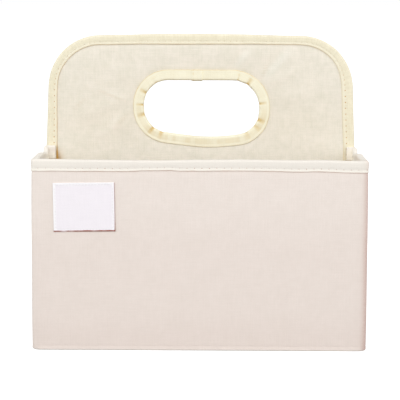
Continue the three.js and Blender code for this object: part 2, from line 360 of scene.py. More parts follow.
class Finish(NamedTuple):
    """A material, and the slot that it belongs to."""

    material: bpy.types.Material
    slot: Slot


def put_in_scene(name: str, data: bpy.types.ID) -> bpy.types.Object:
    """Makes an object of some data and puts it into the scene."""
    made = bpy.data.objects.new(name, data)
    bpy.context.scene.collection.objects.link(made)
    return made


def mesh_object(mesh: bmesh.types.BMesh, name: str, material: bpy.types.Material) -> bpy.types.Object:
    """Turns a finished mesh into an object, and uses it up."""
    data = bpy.data.meshes.new(name)
    mesh.to_mesh(data)
    mesh.free()
    data.materials.append(material)
    return put_in_scene(name, data)


def place_piece(
    mesh: bmesh.types.BMesh, name: str, finish: Finish, body: str = ROOT, node: str = ""
) -> bpy.types.Object:
    """Turns a finished mesh into a piece of the caddy.

    Args:
        mesh: the mesh in millimetres, which is used up.
        name: the piece's name.
        finish: its material and slot.
        body: the body that it rides on.
        node: the CAD node that it replaces, if there is one.

    Returns:
        The new object, in metres.
    """
    bmesh.ops.scale(mesh, vec=Vector((MM, MM, MM)), verts=mesh.verts)
    for face in mesh.faces:
        face.smooth = True
    piece = mesh_object(mesh, name, finish.material)
    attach(piece, body)
    if node:
        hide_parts(node)
    LOG.info("%s rides on %s", name, body)
    return piece


@dataclass(frozen=True)
class Sheet:
    """A cloth as a piece: its names, its finish, how it is held, and its thickness with soft cut edges."""

    name: str
    node: str
    finish: Finish
    held: str
    thickness: float
    softening: int = 1
    offset: float = 0.0
    body: str = ROOT

    def sew(self, mesh: bmesh.types.BMesh, flat: tuple[float, float], **facts: object) -> None:
        """Makes the laid cloth a piece.

        Args:
            mesh: the laid cloth in millimetres, which is used up.
            flat: its flat size in metres, which is not used.
            facts: what it rests on, and what else is said of the sheet, which are not used.
        """
        piece = place_piece(mesh, self.name, self.finish, self.body, self.node)
        wall = piece.modifiers.new("cloth_thickness", "SOLIDIFY")
        wall.thickness = self.thickness * MM
        wall.offset = self.offset
        if self.softening:
            soft = piece.modifiers.new("soft_edges", "SUBSURF")
            soft.levels = soft.render_levels = self.softening


@dataclass(frozen=True)
class SewnTape:
    """A folded tape, and the two rows of stitches that hold its legs."""

    sheet: Sheet
    cut: ClothCut
    lay: Laying
    shade: Shading
    stitch: StitchRow
    from_edge: float
    ends: tuple[float, float]
    lift: float

    def sew(self, stitches: str, thread: Finish, rests_on: list[str]) -> None:
        """Stitches the tape down and makes it a piece.

        Args:
            stitches: the name of the stitches' own piece.
            thread: their finish.
            rests_on: the names of the pieces that the tape is sewn to.
        """
        threads = bmesh.new()
        for girth in (self.from_edge, self.cut.rows[-1] - self.from_edge):
            self.stitch.sew(threads, self.lay, girth, self.ends, self.lift)
        sewn = place_piece(threads, stitches, thread)
        mesh = self.cut.laid(self.lay, self.shade)
        self.sheet.sew(mesh, self.cut.flat, rests_on=rests_on, with_pieces=[sewn])


# Materials


class Wire:
    """A number or colour that varies over a surface, on which sums are written as on plain numbers."""

    def __init__(self, bench: "Bench", socket: bpy.types.NodeSocket) -> None:
        """Wraps an output socket of a node on a bench."""
        self.bench = bench
        self.socket = socket

    def out(self, name: str) -> "Wire":
        """Another output of the same node."""
        return Wire(self.bench, self.socket.node.outputs[name])

    def _sum(self, operation: str, *terms: "Wire | float") -> "Wire":
        """Adds a Math node on the terms."""
        return self.bench.node("ShaderNodeMath", {"operation": operation}, dict(enumerate(terms)))

    def __add__(self, other: "Wire | float") -> "Wire":
        """This plus another."""
        return self._sum("ADD", self, other)

    __radd__ = __add__

    def __sub__(self, other: "Wire | float") -> "Wire":
        """This less another."""
        return self._sum("SUBTRACT", self, other)

    def __rsub__(self, other: float) -> "Wire":
        """A number less this."""
        return self._sum("SUBTRACT", other, self)

    def __mul__(self, other: "Wire | float") -> "Wire":
        """This times another."""
        return self._sum("MULTIPLY", self, other)

    def __pow__(self, power: float) -> "Wire":
        """This to a power."""
        return self._sum("POWER", self, power)

    def sine(self) -> "Wire":
        """The sine of this."""
        return self._sum("SINE", self)

    def size(self) -> "Wire":
        """This without its sign."""
        return self._sum("ABSOLUTE", self)

    def fraction(self) -> "Wire":
        """What is left of this above a whole number."""
        return self._sum("FRACT", self)

    def at_most(self, other: "Wire | float") -> "Wire":
        """The lower of the two."""
        return self._sum("MINIMUM", self, other)

    def between(self, low: float, high: float) -> "Wire":
        """Rises softly from 0 where this is low to 1 where it is high."""
        inputs = {"Value": self, "From Min": low, "From Max": high}
        return self.bench.node("ShaderNodeMapRange", {"interpolation_type": "SMOOTHSTEP"}, inputs)


class Bench:
    """A material in the making, or the world's surround."""

    def __init__(self, material: bpy.types.Material | bpy.types.World) -> None:
        """Starts an empty node tree."""
        self.material = material
        material.use_nodes = True
        self.tree = material.node_tree
        self.tree.nodes.clear()

    def node(
        self,
        kind: str,
        settings: Mapping[str, object],
        inputs: Mapping[str | int, object],
        output: str | int = 0,
    ) -> Wire:
        """Adds a node.

        Args:
            kind: the node's type.
            settings: the node's own settings, which are set first.
            inputs: numbers, colours or wires for its sockets, by name or number.
            output: the output to go on with.

        Returns:
            The wire from that output.
        """
        made = self.tree.nodes.new(kind)
        for setting, value in settings.items():
            setattr(made, setting, value)
        for name, value in inputs.items():
            if isinstance(value, Wire):
                self.tree.links.new(value.socket, made.inputs[name])
            else:
                made.inputs[name].default_value = value
        return Wire(self, made.outputs[output] if made.outputs else made.inputs[0])

    def blend(self, start: "Wire | tuple", end: "Wire | tuple", share: Wire) -> Wire:
        """Goes from one colour to another as the share goes from 0 to 1."""
        first, second, result = 6, 7, 2
        inputs = {0: share, first: start, second: end}
        return self.node("ShaderNodeMix", {"data_type": "RGBA"}, inputs, result)

    def place(self) -> Wire:
        """The place on the caddy, in metres."""
        return self.node("ShaderNodeTexCoord", {}, {}, "Object")

    def scaled(self, place: Wire, factors: tuple[float, float, float]) -> Wire:
        """A place with each coordinate times a factor."""
        return self.node("ShaderNodeVectorMath", {"operation": "MULTIPLY"}, {0: place, 1: factors})

    def grain(self, place: Wire, factors: tuple[float, float, float], detail: float = 2.0) -> Wire:
        """Noise about 0, from about -0.5 to 0.5, whose cells are one unit of the scaled place."""
        inputs = {"Vector": self.scaled(place, factors), "Scale": 1.0, "Detail": detail}
        return self.node("ShaderNodeTexNoise", {}, inputs) - 0.5

    def surface(
        self, colour: Wire, roughness: Wire, height: Wire, relief: float, sheen: float = 0.0
    ) -> bpy.types.Material:
        """Ends the material in a surface.

        Args:
            colour: the colour wire.
            roughness: the roughness wire.
            height: the height of the relief, about 0 to 1.
            relief: how many millimetres a height of 1 is.
            sheen: the weight of the soft sheen of fibres.

        Returns:
            The finished material.
        """
        bump = self.node("ShaderNodeBump", {}, {"Strength": 1.0, "Distance": relief * MM, "Height": height})
        varying = {"Base Color": colour, "Roughness": roughness, "Normal": bump}
        even = {"Sheen Weight": sheen, "Specular IOR Level": 0.25}
        cloth = self.node("ShaderNodeBsdfPrincipled", {}, varying | even)
        self.node("ShaderNodeOutputMaterial", {}, {"Surface": cloth})
        return self.material


def colour_of(tint: Colour, factor: float = 1.0) -> tuple[float, float, float, float]:
    """Turns a colour of 0 to 255 parts, as a paint chart gives it, into the linear one that shaders take."""
    parts = ((part / 255 + 0.055) / 1.055 for part in tint)
    return (*(min(1.0, factor * part**2.4) for part in parts), 1.0)


@dataclass(frozen=True)
class NeedleRow:
    """The needle's holes along a tape: their pitch, the rows' girths, and how dark and uneven they are."""

    pitch: float
    girths: tuple[float, ...]
    radius: float = 0.55
    depth: float = 0.6
    unevenness: float = 2.4
    side_depth: float = 0.0
    sides: tuple[float, float] = (0.138, 0.15)

    def marks(self, run: Wire, girth: Wire) -> Wire:
        """Marks that are 1 in the needle's holes and 0 elsewhere."""
        across = ((run * (1 / self.pitch)).fraction() - 0.5) * self.pitch
        across = self.pitch * 0.5 - across.size()
        marks = None
        for row in self.girths:
            reach = (across**2 + (girth - row) ** 2) ** 0.5
            mark = 1 - reach.between(self.radius * 0.4, self.radius)
            marks = mark if marks is None else marks + mark
        return marks

    def wear(self, bench: Bench, pattern: Wire) -> Wire:
        """How dark the holes are, which is uneven and may be more at the caddy's sides."""
        from_middle = bench.node("ShaderNodeSeparateXYZ", {}, {0: bench.place()}).out("X").size()
        uneven = bench.grain(pattern, (0.03, 0.05, 1)) * self.unevenness
        return self.depth + uneven + from_middle.between(*self.sides) * self.side_depth


@dataclass(frozen=True)
class ClothFinish:
    """A plain-woven cloth: its colours, its yarns, how uneven it is, and how its relief stands."""

    name: str
    slot: Slot
    colour: Colour
    # deep is the colour that the shade attribute deepens towards: for painted shade and painted shadow lines,
    # and for marks such as needle holes.
    deep: Colour
    yarn_pitch: float = 0.8
    weave_tone: float = 0.06
    slub_tone: float = 0.8
    mottle_tone: float = 0.5
    spread: float = 0.05
    relief: float = 0.09
    rib: float = 0.0
    painted_gather_shade: float = 0.0
    crumple: float = 0.0
    second: Colour | None = None
    sheen: float = 0.1
    # pale is the colour that a shade below 0 turns towards: for painted light and painted highlights.
    pale: Colour = (255, 249, 238)
    needles: NeedleRow | None = None

    def finish(self) -> Finish:
        """Makes the cloth's material from its flat pattern.

        Returns:
            The finish, whose weave follows the cloth wherever it is laid.
        """
        bench = Bench(bpy.data.materials.new(self.name))
        pattern = bench.scaled(bench.node("ShaderNodeUVMap", {"uv_map": FLAT_MAP}, {}), (1 / MM, 1 / MM, 0.0))
        parts = bench.node("ShaderNodeSeparateXYZ", {}, {0: pattern})
        run, girth = parts.out("X"), parts.out("Y")
        warp = (run * (math.pi / self.yarn_pitch)).sine()
        weft = (girth * (math.pi / self.yarn_pitch)).sine()
        crossing = (warp * weft).size()
        slub = bench.grain(pattern, (1.1, 0.045, 1)) + bench.grain(pattern, (0.05, 1.2, 1))
        fleck = bench.grain(pattern, (0.9, 0.9, 1), 3.0)
        mottle = bench.grain(pattern, (0.06, 0.05, 1), 4.0)
        tone = 0.5 + slub * self.slub_tone + fleck * self.slub_tone + mottle * self.mottle_tone
        tone = tone + (crossing - 0.5) * self.weave_tone
        if self.rib:
            tone = tone + ((girth * (math.pi / self.rib)).sine().size() - 0.6) * self.weave_tone
        # Painted shade and light: stripes across the tape that stand in for the shading of small gathers.
        if self.painted_gather_shade:
            tone = tone + bench.grain(pattern, (0.055, 0.02, 1)) * self.painted_gather_shade
        if self.crumple:
            tone = tone + bench.grain(pattern, (0.2, 0.16, 1), 3.0) * self.crumple
        light = colour_of(self.colour, 1 + self.spread)
        dark = colour_of(self.second or self.colour, 1 - self.spread)
        colour = bench.blend(dark, light, tone.between(-0.2, 1.2))
        depth = bench.node("ShaderNodeAttribute", {"attribute_name": SHADE}, {}, "Fac")
        depth = depth + depth * fleck
        height = crossing * 0.4 + slub * 0.6 + fleck * 0.6
        if self.needles:
            holes = self.needles.marks(run, girth)
            depth = depth + holes * self.needles.wear(bench, pattern)
            height = height - holes * 3.0
        # Painted shade and painted light: the shade attribute turns the colour towards deep, and below 0
        # towards pale.
        colour = bench.blend(colour, colour_of(self.deep), depth.at_most(1.0))
        colour = bench.blend(colour, colour_of(self.pale), 0 - depth)
        roughness = 0.88 + slub * 0.08
        return Finish(bench.surface(colour, roughness, height, self.relief, self.sheen), self.slot)


@dataclass(frozen=True)
class CardFinish:
    """Grey-brown stiffening board with short fibres."""

    name: str = "stiffening_board"
    colour: Colour = (201, 180, 146)
    fibre: Colour = (164, 138, 102)

    def material(self) -> bpy.types.Material:
        """Makes the board's material from its place on the caddy."""
        bench = Bench(bpy.data.materials.new(self.name))
        place = bench.place()
        long_fibres = bench.grain(place, (120, 120, 900), 4.0)
        short_fibres = bench.grain(place, (1500, 1500, 1500), 2.0)
        share = 0.5 + long_fibres + short_fibres * 0.6
        colour = bench.blend(colour_of(self.colour), colour_of(self.fibre), share.between(0.35, 0.95))
        return bench.surface(colour, 0.92 + long_fibres * 0.1, share, 0.12)


@dataclass(frozen=True)
class ThreadFinish:
    """Spun sewing thread."""

    name: str
    slot: Slot
    colour: Colour
    shade: Colour

    def finish(self) -> Finish:
        """Makes the thread's material, with plies that run round it."""
        bench = Bench(bpy.data.materials.new(self.name))
        plies = bench.grain(bench.place(), (2600, 2600, 1800), 1.0)
        colour = bench.blend(colour_of(self.colour), colour_of(self.shade), (0.35 + plies).between(0.0, 1.0))
        return Finish(bench.surface(colour, 0.7 + plies * 0.1, plies, 0.05), self.slot)


class Finishes:
    """Every finish of the caddy, each made once."""

    def __init__(self) -> None:
        """Makes the materials."""
        self.outer = ClothFinish(
            "outer_cloth", Slot.OUTER_CLOTH, (237, 227, 220), (182, 138, 126), second=(237, 226, 217),
            spread=0.06, weave_tone=0.03, slub_tone=0.5, crumple=0.4, relief=0.05
        ).finish()
        self.panel = ClothFinish(
            "panel_cloth", Slot.PANEL_CLOTH, (245, 240, 230), (196, 161, 107), second=(241, 239, 224),
            spread=0.08, weave_tone=0.03, slub_tone=0.65, mottle_tone=0.8, crumple=0.8, relief=0.11,
            pale=(252, 244, 240)
        ).finish()
        self.lining = ClothFinish(
            "lining_cloth", Slot.LINING_CLOTH, (244, 230, 208), (196, 161, 107), spread=0.04
        ).finish()
        self.rim_tape = ClothFinish(
            "rim_tape", Slot.RIM_TAPE, (240, 234, 225), (196, 140, 104), spread=0.03, rib=1.6,
            pale=(255, 250, 238), needles=NeedleRow(7.0, (2.7,))
        ).finish()
        self.binding = ClothFinish(
            "binding_tape", Slot.BINDING_TAPE, (244, 238, 215), (208, 158, 74), second=(240, 231, 203),
            spread=0.06, rib=1.6, crumple=0.8, pale=(252, 246, 228),
            needles=NeedleRow(6.0, (3.0, 20.4), 0.72, depth=0.2, unevenness=1.0, side_depth=0.8)
        ).finish()
        self.hole_tape = ClothFinish(
            "hole_tape", Slot.BINDING_TAPE, (250, 247, 226), (212, 174, 78), second=(247, 240, 212),
            spread=0.05, rib=1.6, slub_tone=0.6, painted_gather_shade=1.4, pale=(255, 250, 228)
        ).finish()
        self.label = ClothFinish(
            "label_cloth", Slot.LABEL_CLOTH, (246, 241, 246), (150, 84, 58), yarn_pitch=0.5, rib=1.0,
            spread=0.03, relief=0.05, pale=(255, 254, 255)
        ).finish()
        self.card = CardFinish().material()
        self.rim_thread, self.binding_thread, self.label_thread = (
            ThreadFinish(name, slot, colour, shade).finish()
            for name, slot, colour, shade in (
                ("rim_thread", Slot.RIM_TAPE, (243, 236, 226), (214, 198, 180)),
                ("binding_thread", Slot.BINDING_TAPE, (242, 234, 208), (212, 198, 156)),
                ("label_thread", Slot.LABEL_CLOTH, (243, 238, 243), (214, 206, 214)),
            )
        )



# The caddy's sub-assemblies

# The girths at which the first rows of a tape lie, from its free edge.
FREE_EDGE_ROWS = (0.0, 0.35, 0.8, 1.4)

# How far each rim lies below its straight line: a place across the caddy and a drop.
FRONT_RIM_DROPS = (
    (-148, 0.1), (-111, 0.7), (-46, 1.2), (0, 0.4), (38, 0.0), (94, 0.5), (112, 0.1), (140, 0.7)
)
BACK_RIM_DROPS = ((-148, 0.0), (-80, 1.0), (0, 2.5), (80, 1.2), (148, 0.0))

# How far the front rim's tape reaches down: a place across the caddy and a length.
FRONT_TAPE_LEGS = (
    (-152, 11.3), (-110, 10.8), (-70, 10.4), (-50, 9.3), (-28, 9.3), (-17, 10.3), (60, 10.4), (112, 10.8),
    (150, 11.2),
)

# How far the panel's edge tape reaches in: a point by its fold and a length.
EDGE_TAPE_LEGS = (
    (-157, 176, 11.4), (-157, 190, 10.7), (-156, 207, 10.2), (-155, 222, 9.5), (-153, 240, 9.0),
    (-135, 281, 9.3), (-70, 297, 9.5), (-20, 297, 10.3), (30, 297, 10.0), (52, 297, 9.3), (100, 295, 8.7),
    (135, 281, 9.6), (152, 250, 11.4), (157, 180, 11.4),
)


@dataclass(frozen=True)
class Layers:
    """How thick the caddy's layers are, and how far they lie apart."""

    wall_cloth: float = 1.0
    lining: float = 0.8
    tape: float = 0.8
    panel_cloth: float = 0.8
    gap: float = 0.3
    tape_fold: float = 1.5
    under_tape: float = 2.2


@dataclass(frozen=True)
class TapeRelief:
    """How a sewn tape stands off what it binds: a raised edge, a pinched stitch line and a full middle."""

    edge_rise: float = 0.18
    edge_width: float = 0.9
    stitch_from_edge: float = 2.8
    stitch_pinch: float = 0.22
    stitch_width: float = 0.9
    fullness: float = 0.12
    pitch: float = 7.0
    edge_shade_width: float = 0.42
    edge_shade: float = 0.75
    edge_wave: float = 9.0
    middle_wave: float = 14.0
    sway_wave: float = 17.0
    shade_wave: float = 11.0
    stray: float = 0.22
    stitch_stray: float = 0.1

    def _stitch_turn(self, run: float) -> float:
        """How far a run is through its stitch, as an angle."""
        return 2 * math.pi * run / self.pitch

    def lift(self, run: float, from_edge: float, seed: float) -> float:
        """How far the tape stands off at a run, and at a distance from its free edge."""
        pull = 0.8 + 0.2 * math.cos(self._stitch_turn(run))
        uneven = 1 + 0.5 * ripple(run / self.edge_wave, seed)
        rise = self.edge_rise * ridge(from_edge, self.edge_width) * uneven
        pinch = self.stitch_pinch * ridge(from_edge - self.stitch_from_edge, self.stitch_width) * pull
        wave = 1 + 0.7 * ripple(run / self.middle_wave, from_edge / self.edge_wave, seed)
        return rise - pinch + self.fullness * (smooth_step(3.5, 6.0, from_edge) * wave)

    def sway(self, run: float, from_edge: float, seed: float) -> float:
        """How far the free edge strays from a straight line."""
        stray = self.stray * ripple(run / self.sway_wave, seed)
        return (stray + self.stitch_stray * math.sin(self._stitch_turn(run))) * ridge(from_edge, 3.0)

    def shade(self, run: float, from_edge: float, seed: float) -> float:
        """Painted shadow along the free edge, where the tape stands off the cloth: how deep the tape's colour
        is there.
        """
        uneven = 1 + 0.6 * ripple(run / self.shade_wave, seed + 3)
        return self.edge_shade * ridge(from_edge, self.edge_shade_width) * uneven


@dataclass(frozen=True)
class Flange:
    """The turned-in end of a pouch wall: how wide it is, and how far its rim rises above the wall's."""

    width: float = 9.7
    rise: float = 0.0


@dataclass(frozen=True)
class Pouch:
    """One open pouch on a side of the panel: outer cloth, lining and the folded tape over its rim."""

    side: Side
    rim_drops: tuple[tuple[float, float], ...]
    tape_legs: tuple[tuple[float, float], ...] = ((0.0, 10.6),)
    layers: Layers = Layers()
    relief: TapeRelief = TapeRelief(edge_rise=0.04)
    half_width: float = 158.0
    half_depth: float = 118.0
    rim_height: float = 183.4
    wall_thickness: float = 4.4
    flange_thickness: float = 2.1
    flanges: tuple[Flange, Flange] = (Flange(), Flange())
    flange_face: float = 4.6
    fold_radius: float = 3.8
    corner_radius: float = 6.1
    corner_sharpness: float = 0.6
    thinning_length: float = 15.0
    rim_dip: float = 4.7
    rim_dip_length: float = 60.0
    rim_dip_place: float = 6.0
    turned_in: float = 3.7
    lining_foot: float = 1.6
    tape_inner_leg: float = 13.2
    tape_flush: float = 0.7
    foot_spread: float = 1.2
    cloth_wave: float = 0.35
    cloth_wave_lengths: tuple[float, float] = (62.0, 48.0)
    hem_roll: float = 0.4
    foot_radius: float = 1.3
    lining_wave: float = 0.9
    lining_wave_lengths: tuple[float, float, float] = (30.0, 60.0, 75.0)
    cloth_pitch: float = 6.0
    lining_pitch: float = 5.0
    tape_pitch: float = 2.4
    corner_pitch: float = 1.2

    @cached_property
    def plan(self) -> RoundedLine:
        """The wall's plan on the outer face of its cloth, from the left flange to the right one."""
        left, right = self.flanges
        return RoundedLine([
            Corner(left.width - self.half_width, self.flange_face),
            Corner(-self.half_width, self.flange_face, self.fold_radius),
            Corner(-self.half_width, self.half_depth, self.corner_radius),
            Corner(self.half_width, self.half_depth, self.corner_radius),
            Corner(self.half_width, self.flange_face, self.fold_radius),
            Corner(self.half_width - right.width, self.flange_face),
        ])

    @cached_property
    def right_fold(self) -> float:
        """The run at the upright corner at the wall's right."""
        return self.plan.run_nearest(self.half_width, self.half_depth)

    def _past_fold(self, run: float) -> float:
        """How far a run is along the side wall, from the nearer end's fold."""
        left, right = (flange.width + self.fold_radius * (QUARTER - 1) for flange in self.flanges)
        return min(run - left, self.plan.length - run - right)

    def middle_run(self) -> float:
        """The run at the middle of the wall that is parallel to the panel."""
        left, right = self.flanges
        return (self.plan.length + left.width - right.width) / 2

    def rim_at(self, run: float) -> float:
        """The height of the rim at a run."""
        past_dip = self._past_fold(run) - self.rim_dip_place
        length = self.rim_dip_length - self.rim_dip_place if past_dip > 0 else self.rim_dip_place
        drop = self.rim_dip * (1 + math.cos(math.pi * min(1.0, abs(past_dip) / length))) / 2
        sag = eased(self.rim_drops, self.plan.at(run)[0].x) if past_dip > length else 0.0
        flange = self.flanges[run > self.plan.length / 2]
        rise = flange.rise * (1 - smooth_step(-self.rim_dip_place, 0, past_dip))
        return self.rim_height + rise - drop - sag

    def thickness_at(self, run: float) -> float:
        """The wall's thickness at a run. The boards end before the fold, so only cloth turns in."""
        share = min(1.0, max(0.0, self._past_fold(run) / self.thinning_length))
        return self.flange_thickness + (self.wall_thickness - self.flange_thickness) * share

    def stand(self, run: float, depth: float, up: float) -> Vector:
        """The place at a run, at a depth behind the outer face of the cloth, and at a height."""
        spot, outwards = self.plan.at(run)
        inside = spot - outwards * depth
        return Vector((inside.x, self.side.value * inside.y, up))

    def stand_off(self, run: float, up: float) -> float:
        """How far the outer cloth stands off its plan: it eases out below the tape and to the foot."""
        below_rim = self.rim_at(run) - up
        free = smooth_step(4, 30, self._past_fold(run))
        calm = smooth_step(4, 30, up) * smooth_step(10, 45, below_rim)
        along, upwards = self.cloth_wave_lengths
        wave = 0.5 + 0.5 * ripple(run / along, up / upwards, self.side.value * 3)
        tape_leg = eased(self.tape_legs, self.plan.at(run)[0].x)
        flush = self.tape_flush * smooth_step(tape_leg - 1, tape_leg + 3, below_rim)
        spread = self.foot_spread * below_rim / self.rim_height
        roll = self.hem_roll * (ridge(up, 2.4) - 0.3 * ridge(up - 4.4, 0.9))
        corner = self.corner_push(run) * (1 - ridge(up, 3.5))
        return free * (self.cloth_wave * wave * calm + flush + spread) + roll + corner

    def corner_push(self, run: float) -> float:
        """How far the outer cloth and tape stand out at an upright corner, which is sharper than its plan."""
        if self._past_fold(run) < self.rim_dip_length:
            return 0.0
        outwards = self.plan.at(run)[1]
        return self.corner_sharpness * self.corner_radius * (1 / max(abs(outwards.x), abs(outwards.y)) - 1)

    def _sheet(
        self, cloth: str, node: str, finish: Finish, thickness: float, held: str = "stretched"
    ) -> Sheet:
        """One of the pouch's cloths, whose names begin with its side."""
        side = self.side.label
        return Sheet(f"{side}_{cloth}", f"{side}_{node}", finish, held, thickness)

    def cover(self, finishes: Finishes) -> None:
        """Makes the outer cloth, which turns in under the base."""
        half = self.layers.wall_cloth / 2
        turned, curl = self.turned_in - half - self.foot_radius, self.foot_radius * QUARTER

        def profile(run: float) -> RoundedLine:
            """The cloth's section at a run, from its turned-in edge up to the rim."""
            foot = Corner(half, half, self.foot_radius)
            top = Corner(half, self.rim_at(run) - self.layers.under_tape)
            return RoundedLine([Corner(self.turned_in, half), foot, top])

        full = profile(self.plan.length / 2).length
        columns = self.plan.columns(self.cloth_pitch, self.corner_pitch)
        sections = {run: profile(run) for run in columns}

        def on_section(run: float, girth: float) -> Vector:
            """The place on the section of a run, at a girth."""
            section = sections[run]
            return section.at(girth / full * section.length)[0]

        def lay(run: float, girth: float) -> Vector:
            """The place of the cloth at a run and a girth."""
            spot = on_section(run, girth)
            return self.stand(run, spot.x - self.stand_off(run, spot.y), spot.y)

        def shade(run: float, girth: float) -> float:
            """Painted shade deeper down the wall and along its right fold, where less light falls, and
            painted light in a band round its foot, against the shade under the turned-in edge.
            """
            up = on_section(run, girth).y
            # Painted shade deepening down the wall.
            low = 0.052 * (1 - smooth_step(90, 150, up)) + 0.05 * (1 - smooth_step(8, 45, up))
            # Painted shade by the right fold, and painted light round the foot.
            return low + 0.5 * ridge(run - self.right_fold - 0.8, 3.2) - 0.8 * ridge(up, 1.1)

        bends = [0.0, turned, turned + curl, turned + curl + 6, full]
        rows = [0.0]
        for low, high, pitch in zip(bends, bends[1:], (1.0, 0.5, 0.6, self.cloth_pitch)):
            rows += even_rows(low, high, pitch)[1:]
        cut = ClothCut(columns, rows)
        sheet = self._sheet("wall_cloth", "wall_cover", finishes.outer, self.layers.wall_cloth)
        sheet.sew(cut.laid(lay, shade), cut.flat, rests_on=[f"{self.side.label}_wall_board"])

    def lining(self, finishes: Finishes) -> None:
        """Makes the lining, with soft creases down to the floor."""
        full = self.rim_height - self.layers.under_tape - self.lining_foot
        along, slanting, upwards = self.lining_wave_lengths

        def lay(run: float, girth: float) -> Vector:
            """The place of the lining at a run and a girth."""
            top = self.rim_at(run) - self.layers.under_tape
            up = self.lining_foot + girth / full * (top - self.lining_foot)
            past = self._past_fold(run)
            calm = smooth_step(6, 30, top - up) * smooth_step(0, 14, up) * smooth_step(4, 25, past)
            calm *= smooth_step(1, 12, abs(past - (self.half_depth - self.flange_face)))
            wave = 0.5 + 0.6 * ripple(run / along + up / slanting, up / upwards, self.side.value * 7)
            depth = self.thickness_at(run) - self.layers.lining / 2
            return self.stand(run, depth + self.lining_wave * max(0.0, wave) * calm, up)

        def shade(run: float, girth: float) -> float:
            """Painted shade in the folds beside the panel and down in the corners."""
            return 0.55 * ridge(min(self._past_fold(run), 2.0), 5.0) + 0.2 * ridge(girth, 18.0)

        cut = ClothCut(self.plan.columns(self.lining_pitch, 1.0), even_rows(0, full, self.cloth_pitch))
        sheet = self._sheet("lining_cloth", "wall_lining", finishes.lining, self.layers.lining)
        sheet.sew(cut.laid(lay, shade), cut.flat, rests_on=[f"{self.side.label}_wall_board"])

    def rim_tape(self, finishes: Finishes) -> None:
        """Makes the tape over the rim, folded over the wall's layers and sewn through them."""
        half = self.layers.tape / 2
        off = self.layers.gap + half

        def section(run: float) -> RoundedLine:
            """The tape's section at a run, from its outer free edge to its inner one."""
            rim, far = self.rim_at(run), self.thickness_at(run) + off
            bend = min(self.layers.tape_fold, (far + off) / 2 - 0.05)
            return RoundedLine([
                Corner(-off, rim - eased(self.tape_legs, self.plan.at(run)[0].x)),
                Corner(-off, rim - half, bend),
                Corner(far, rim - half, bend),
                Corner(far, rim - self.tape_inner_leg),
            ])

        full = section(self.plan.length / 2).length
        seed = 11.0 * self.side.value

        def lay(run: float, girth: float) -> Vector:
            """The place of the tape at a run and a girth."""
            line = section(run)
            spot, outwards = line.at(girth / full * line.length)
            inner, from_edge = leg_of(full, girth)
            lift = self.relief.lift(run, from_edge, seed + inner)
            lifted = spot + outwards * lift * (0.4 if inner else 1.0)
            lifted.y -= self.relief.sway(run, from_edge, seed + inner)
            lifted.x -= self.corner_push(run) * (1 - smooth_step(full / 2 - 3, full / 2 + 3, girth))
            return self.stand(run, lifted.x, lifted.y)

        def shade(run: float, girth: float) -> float:
            """Painted shadow by the free edges with a painted highlight above the outer one, painted shade by
            the right fold and faintly inside, and painted light at the left end and inside near the ends.
            """
            across = self.plan.at(run)[0].x / self.half_width
            past = self._past_fold(run)
            inside = smooth_step(full / 2, full / 2 + 5, girth)
            low = smooth_step(full / 2 + 4, full / 2 + 12, girth)
            # Inside the pouch, painted light near the ends and a faint painted shade elsewhere.
            inner_painted_light = 0.95 if past > 0 else 0.47 + 0.53 * across + 0.75 * low * (1 - across) / 2
            tone = inside * (0.04 - inner_painted_light * (1 - smooth_step(20, 60, past)))
            fold = 0.2 * ridge(run - self.right_fold - 1.5, 3)
            # Painted light at the left end of the outer face.
            left_painted_light = 0.15 * smooth_step(0.6, 0.9, -across)
            edges = self.relief.shade(run, girth, seed) + 0.5 * self.relief.shade(run, full - girth, seed)
            # The last term is a painted highlight above the outer free edge.
            return tone + (1 - inside) * (fold - left_painted_light) + edges - 0.6 * ridge(girth - 1.4, 0.7)

        rows = [*FREE_EDGE_ROWS, *even_rows(2.0, full - 2.0, 0.8), full - 1.2, full - 0.5, full]
        label = self.side.label
        SewnTape(
            self._sheet("rim_binding", "rim_tape", finishes.rim_tape, self.layers.tape, "folded"),
            ClothCut(self.plan.columns(self.tape_pitch, 0.9), rows),
            lay,
            shade,
            StitchRow(self.relief.pitch, length=5.6, thread=0.55),
            self.relief.stitch_from_edge,
            ends=(1.0, self.plan.length - 1.0),
            lift=self.side.value * (half + 0.12),
        ).sew(f"{label}_rim_stitches", finishes.rim_thread, [f"{label}_wall_cloth", f"{label}_lining_cloth"])

    def build(self, finishes: Finishes) -> None:
        """Makes the pouch's cloths in the order in which they are sewn."""
        self.cover(finishes)
        self.lining(finishes)
        self.rim_tape(finishes)


@dataclass(frozen=True)
class Crease:
    """A pull or pucker where a tape turns: a point by it on the panel, its depth and its width."""

    x: float
    up: float
    depth: float = 0.6
    width: float = 2.3


@dataclass(frozen=True)
class SoftFold:
    """A low soft fold in a stretched cloth, from one point to another, with its width, its height and the
    tone of its painted light and shade.
    """

    x: float
    up: float
    end_x: float
    end_up: float
    width: float
    height: float
    tone: float = 0.0

    def _place(self, x: float, up: float) -> tuple[float, float, float]:
        """How full the fold is beside a point, how far off the point is, and how far to the fold's left."""
        start, end, spot = Vector((self.x, self.up)), Vector((self.end_x, self.end_up)), Vector((x, up))
        along = end - start
        share = min(1.0, max(0.0, (spot - start).dot(along) / along.length_squared))
        fading = math.sin(math.pi * min(1.0, max(0.0, 0.12 + 0.8 * share)))
        return fading, (spot - start - along * share).length, (spot - start).cross(along.normalized()) * -1

    def lift(self, x: float, up: float) -> float:
        """How far the fold stands off at a place."""
        fading, off, _ = self._place(x, up)
        return self.height * fading * ridge(off, self.width)

    def shade(self, x: float, up: float) -> float:
        """Painted light and shade at a place: paler on the fold and deeper at its left, the other way round
        for a negative tone.
        """
        fading, off, left = self._place(x, up)
        deep = 0.5 * ridge(off, 2.5 * self.width) * ridge(left - self.width, self.width)
        return self.tone * fading * (deep - ridge(off, 0.8 * self.width))


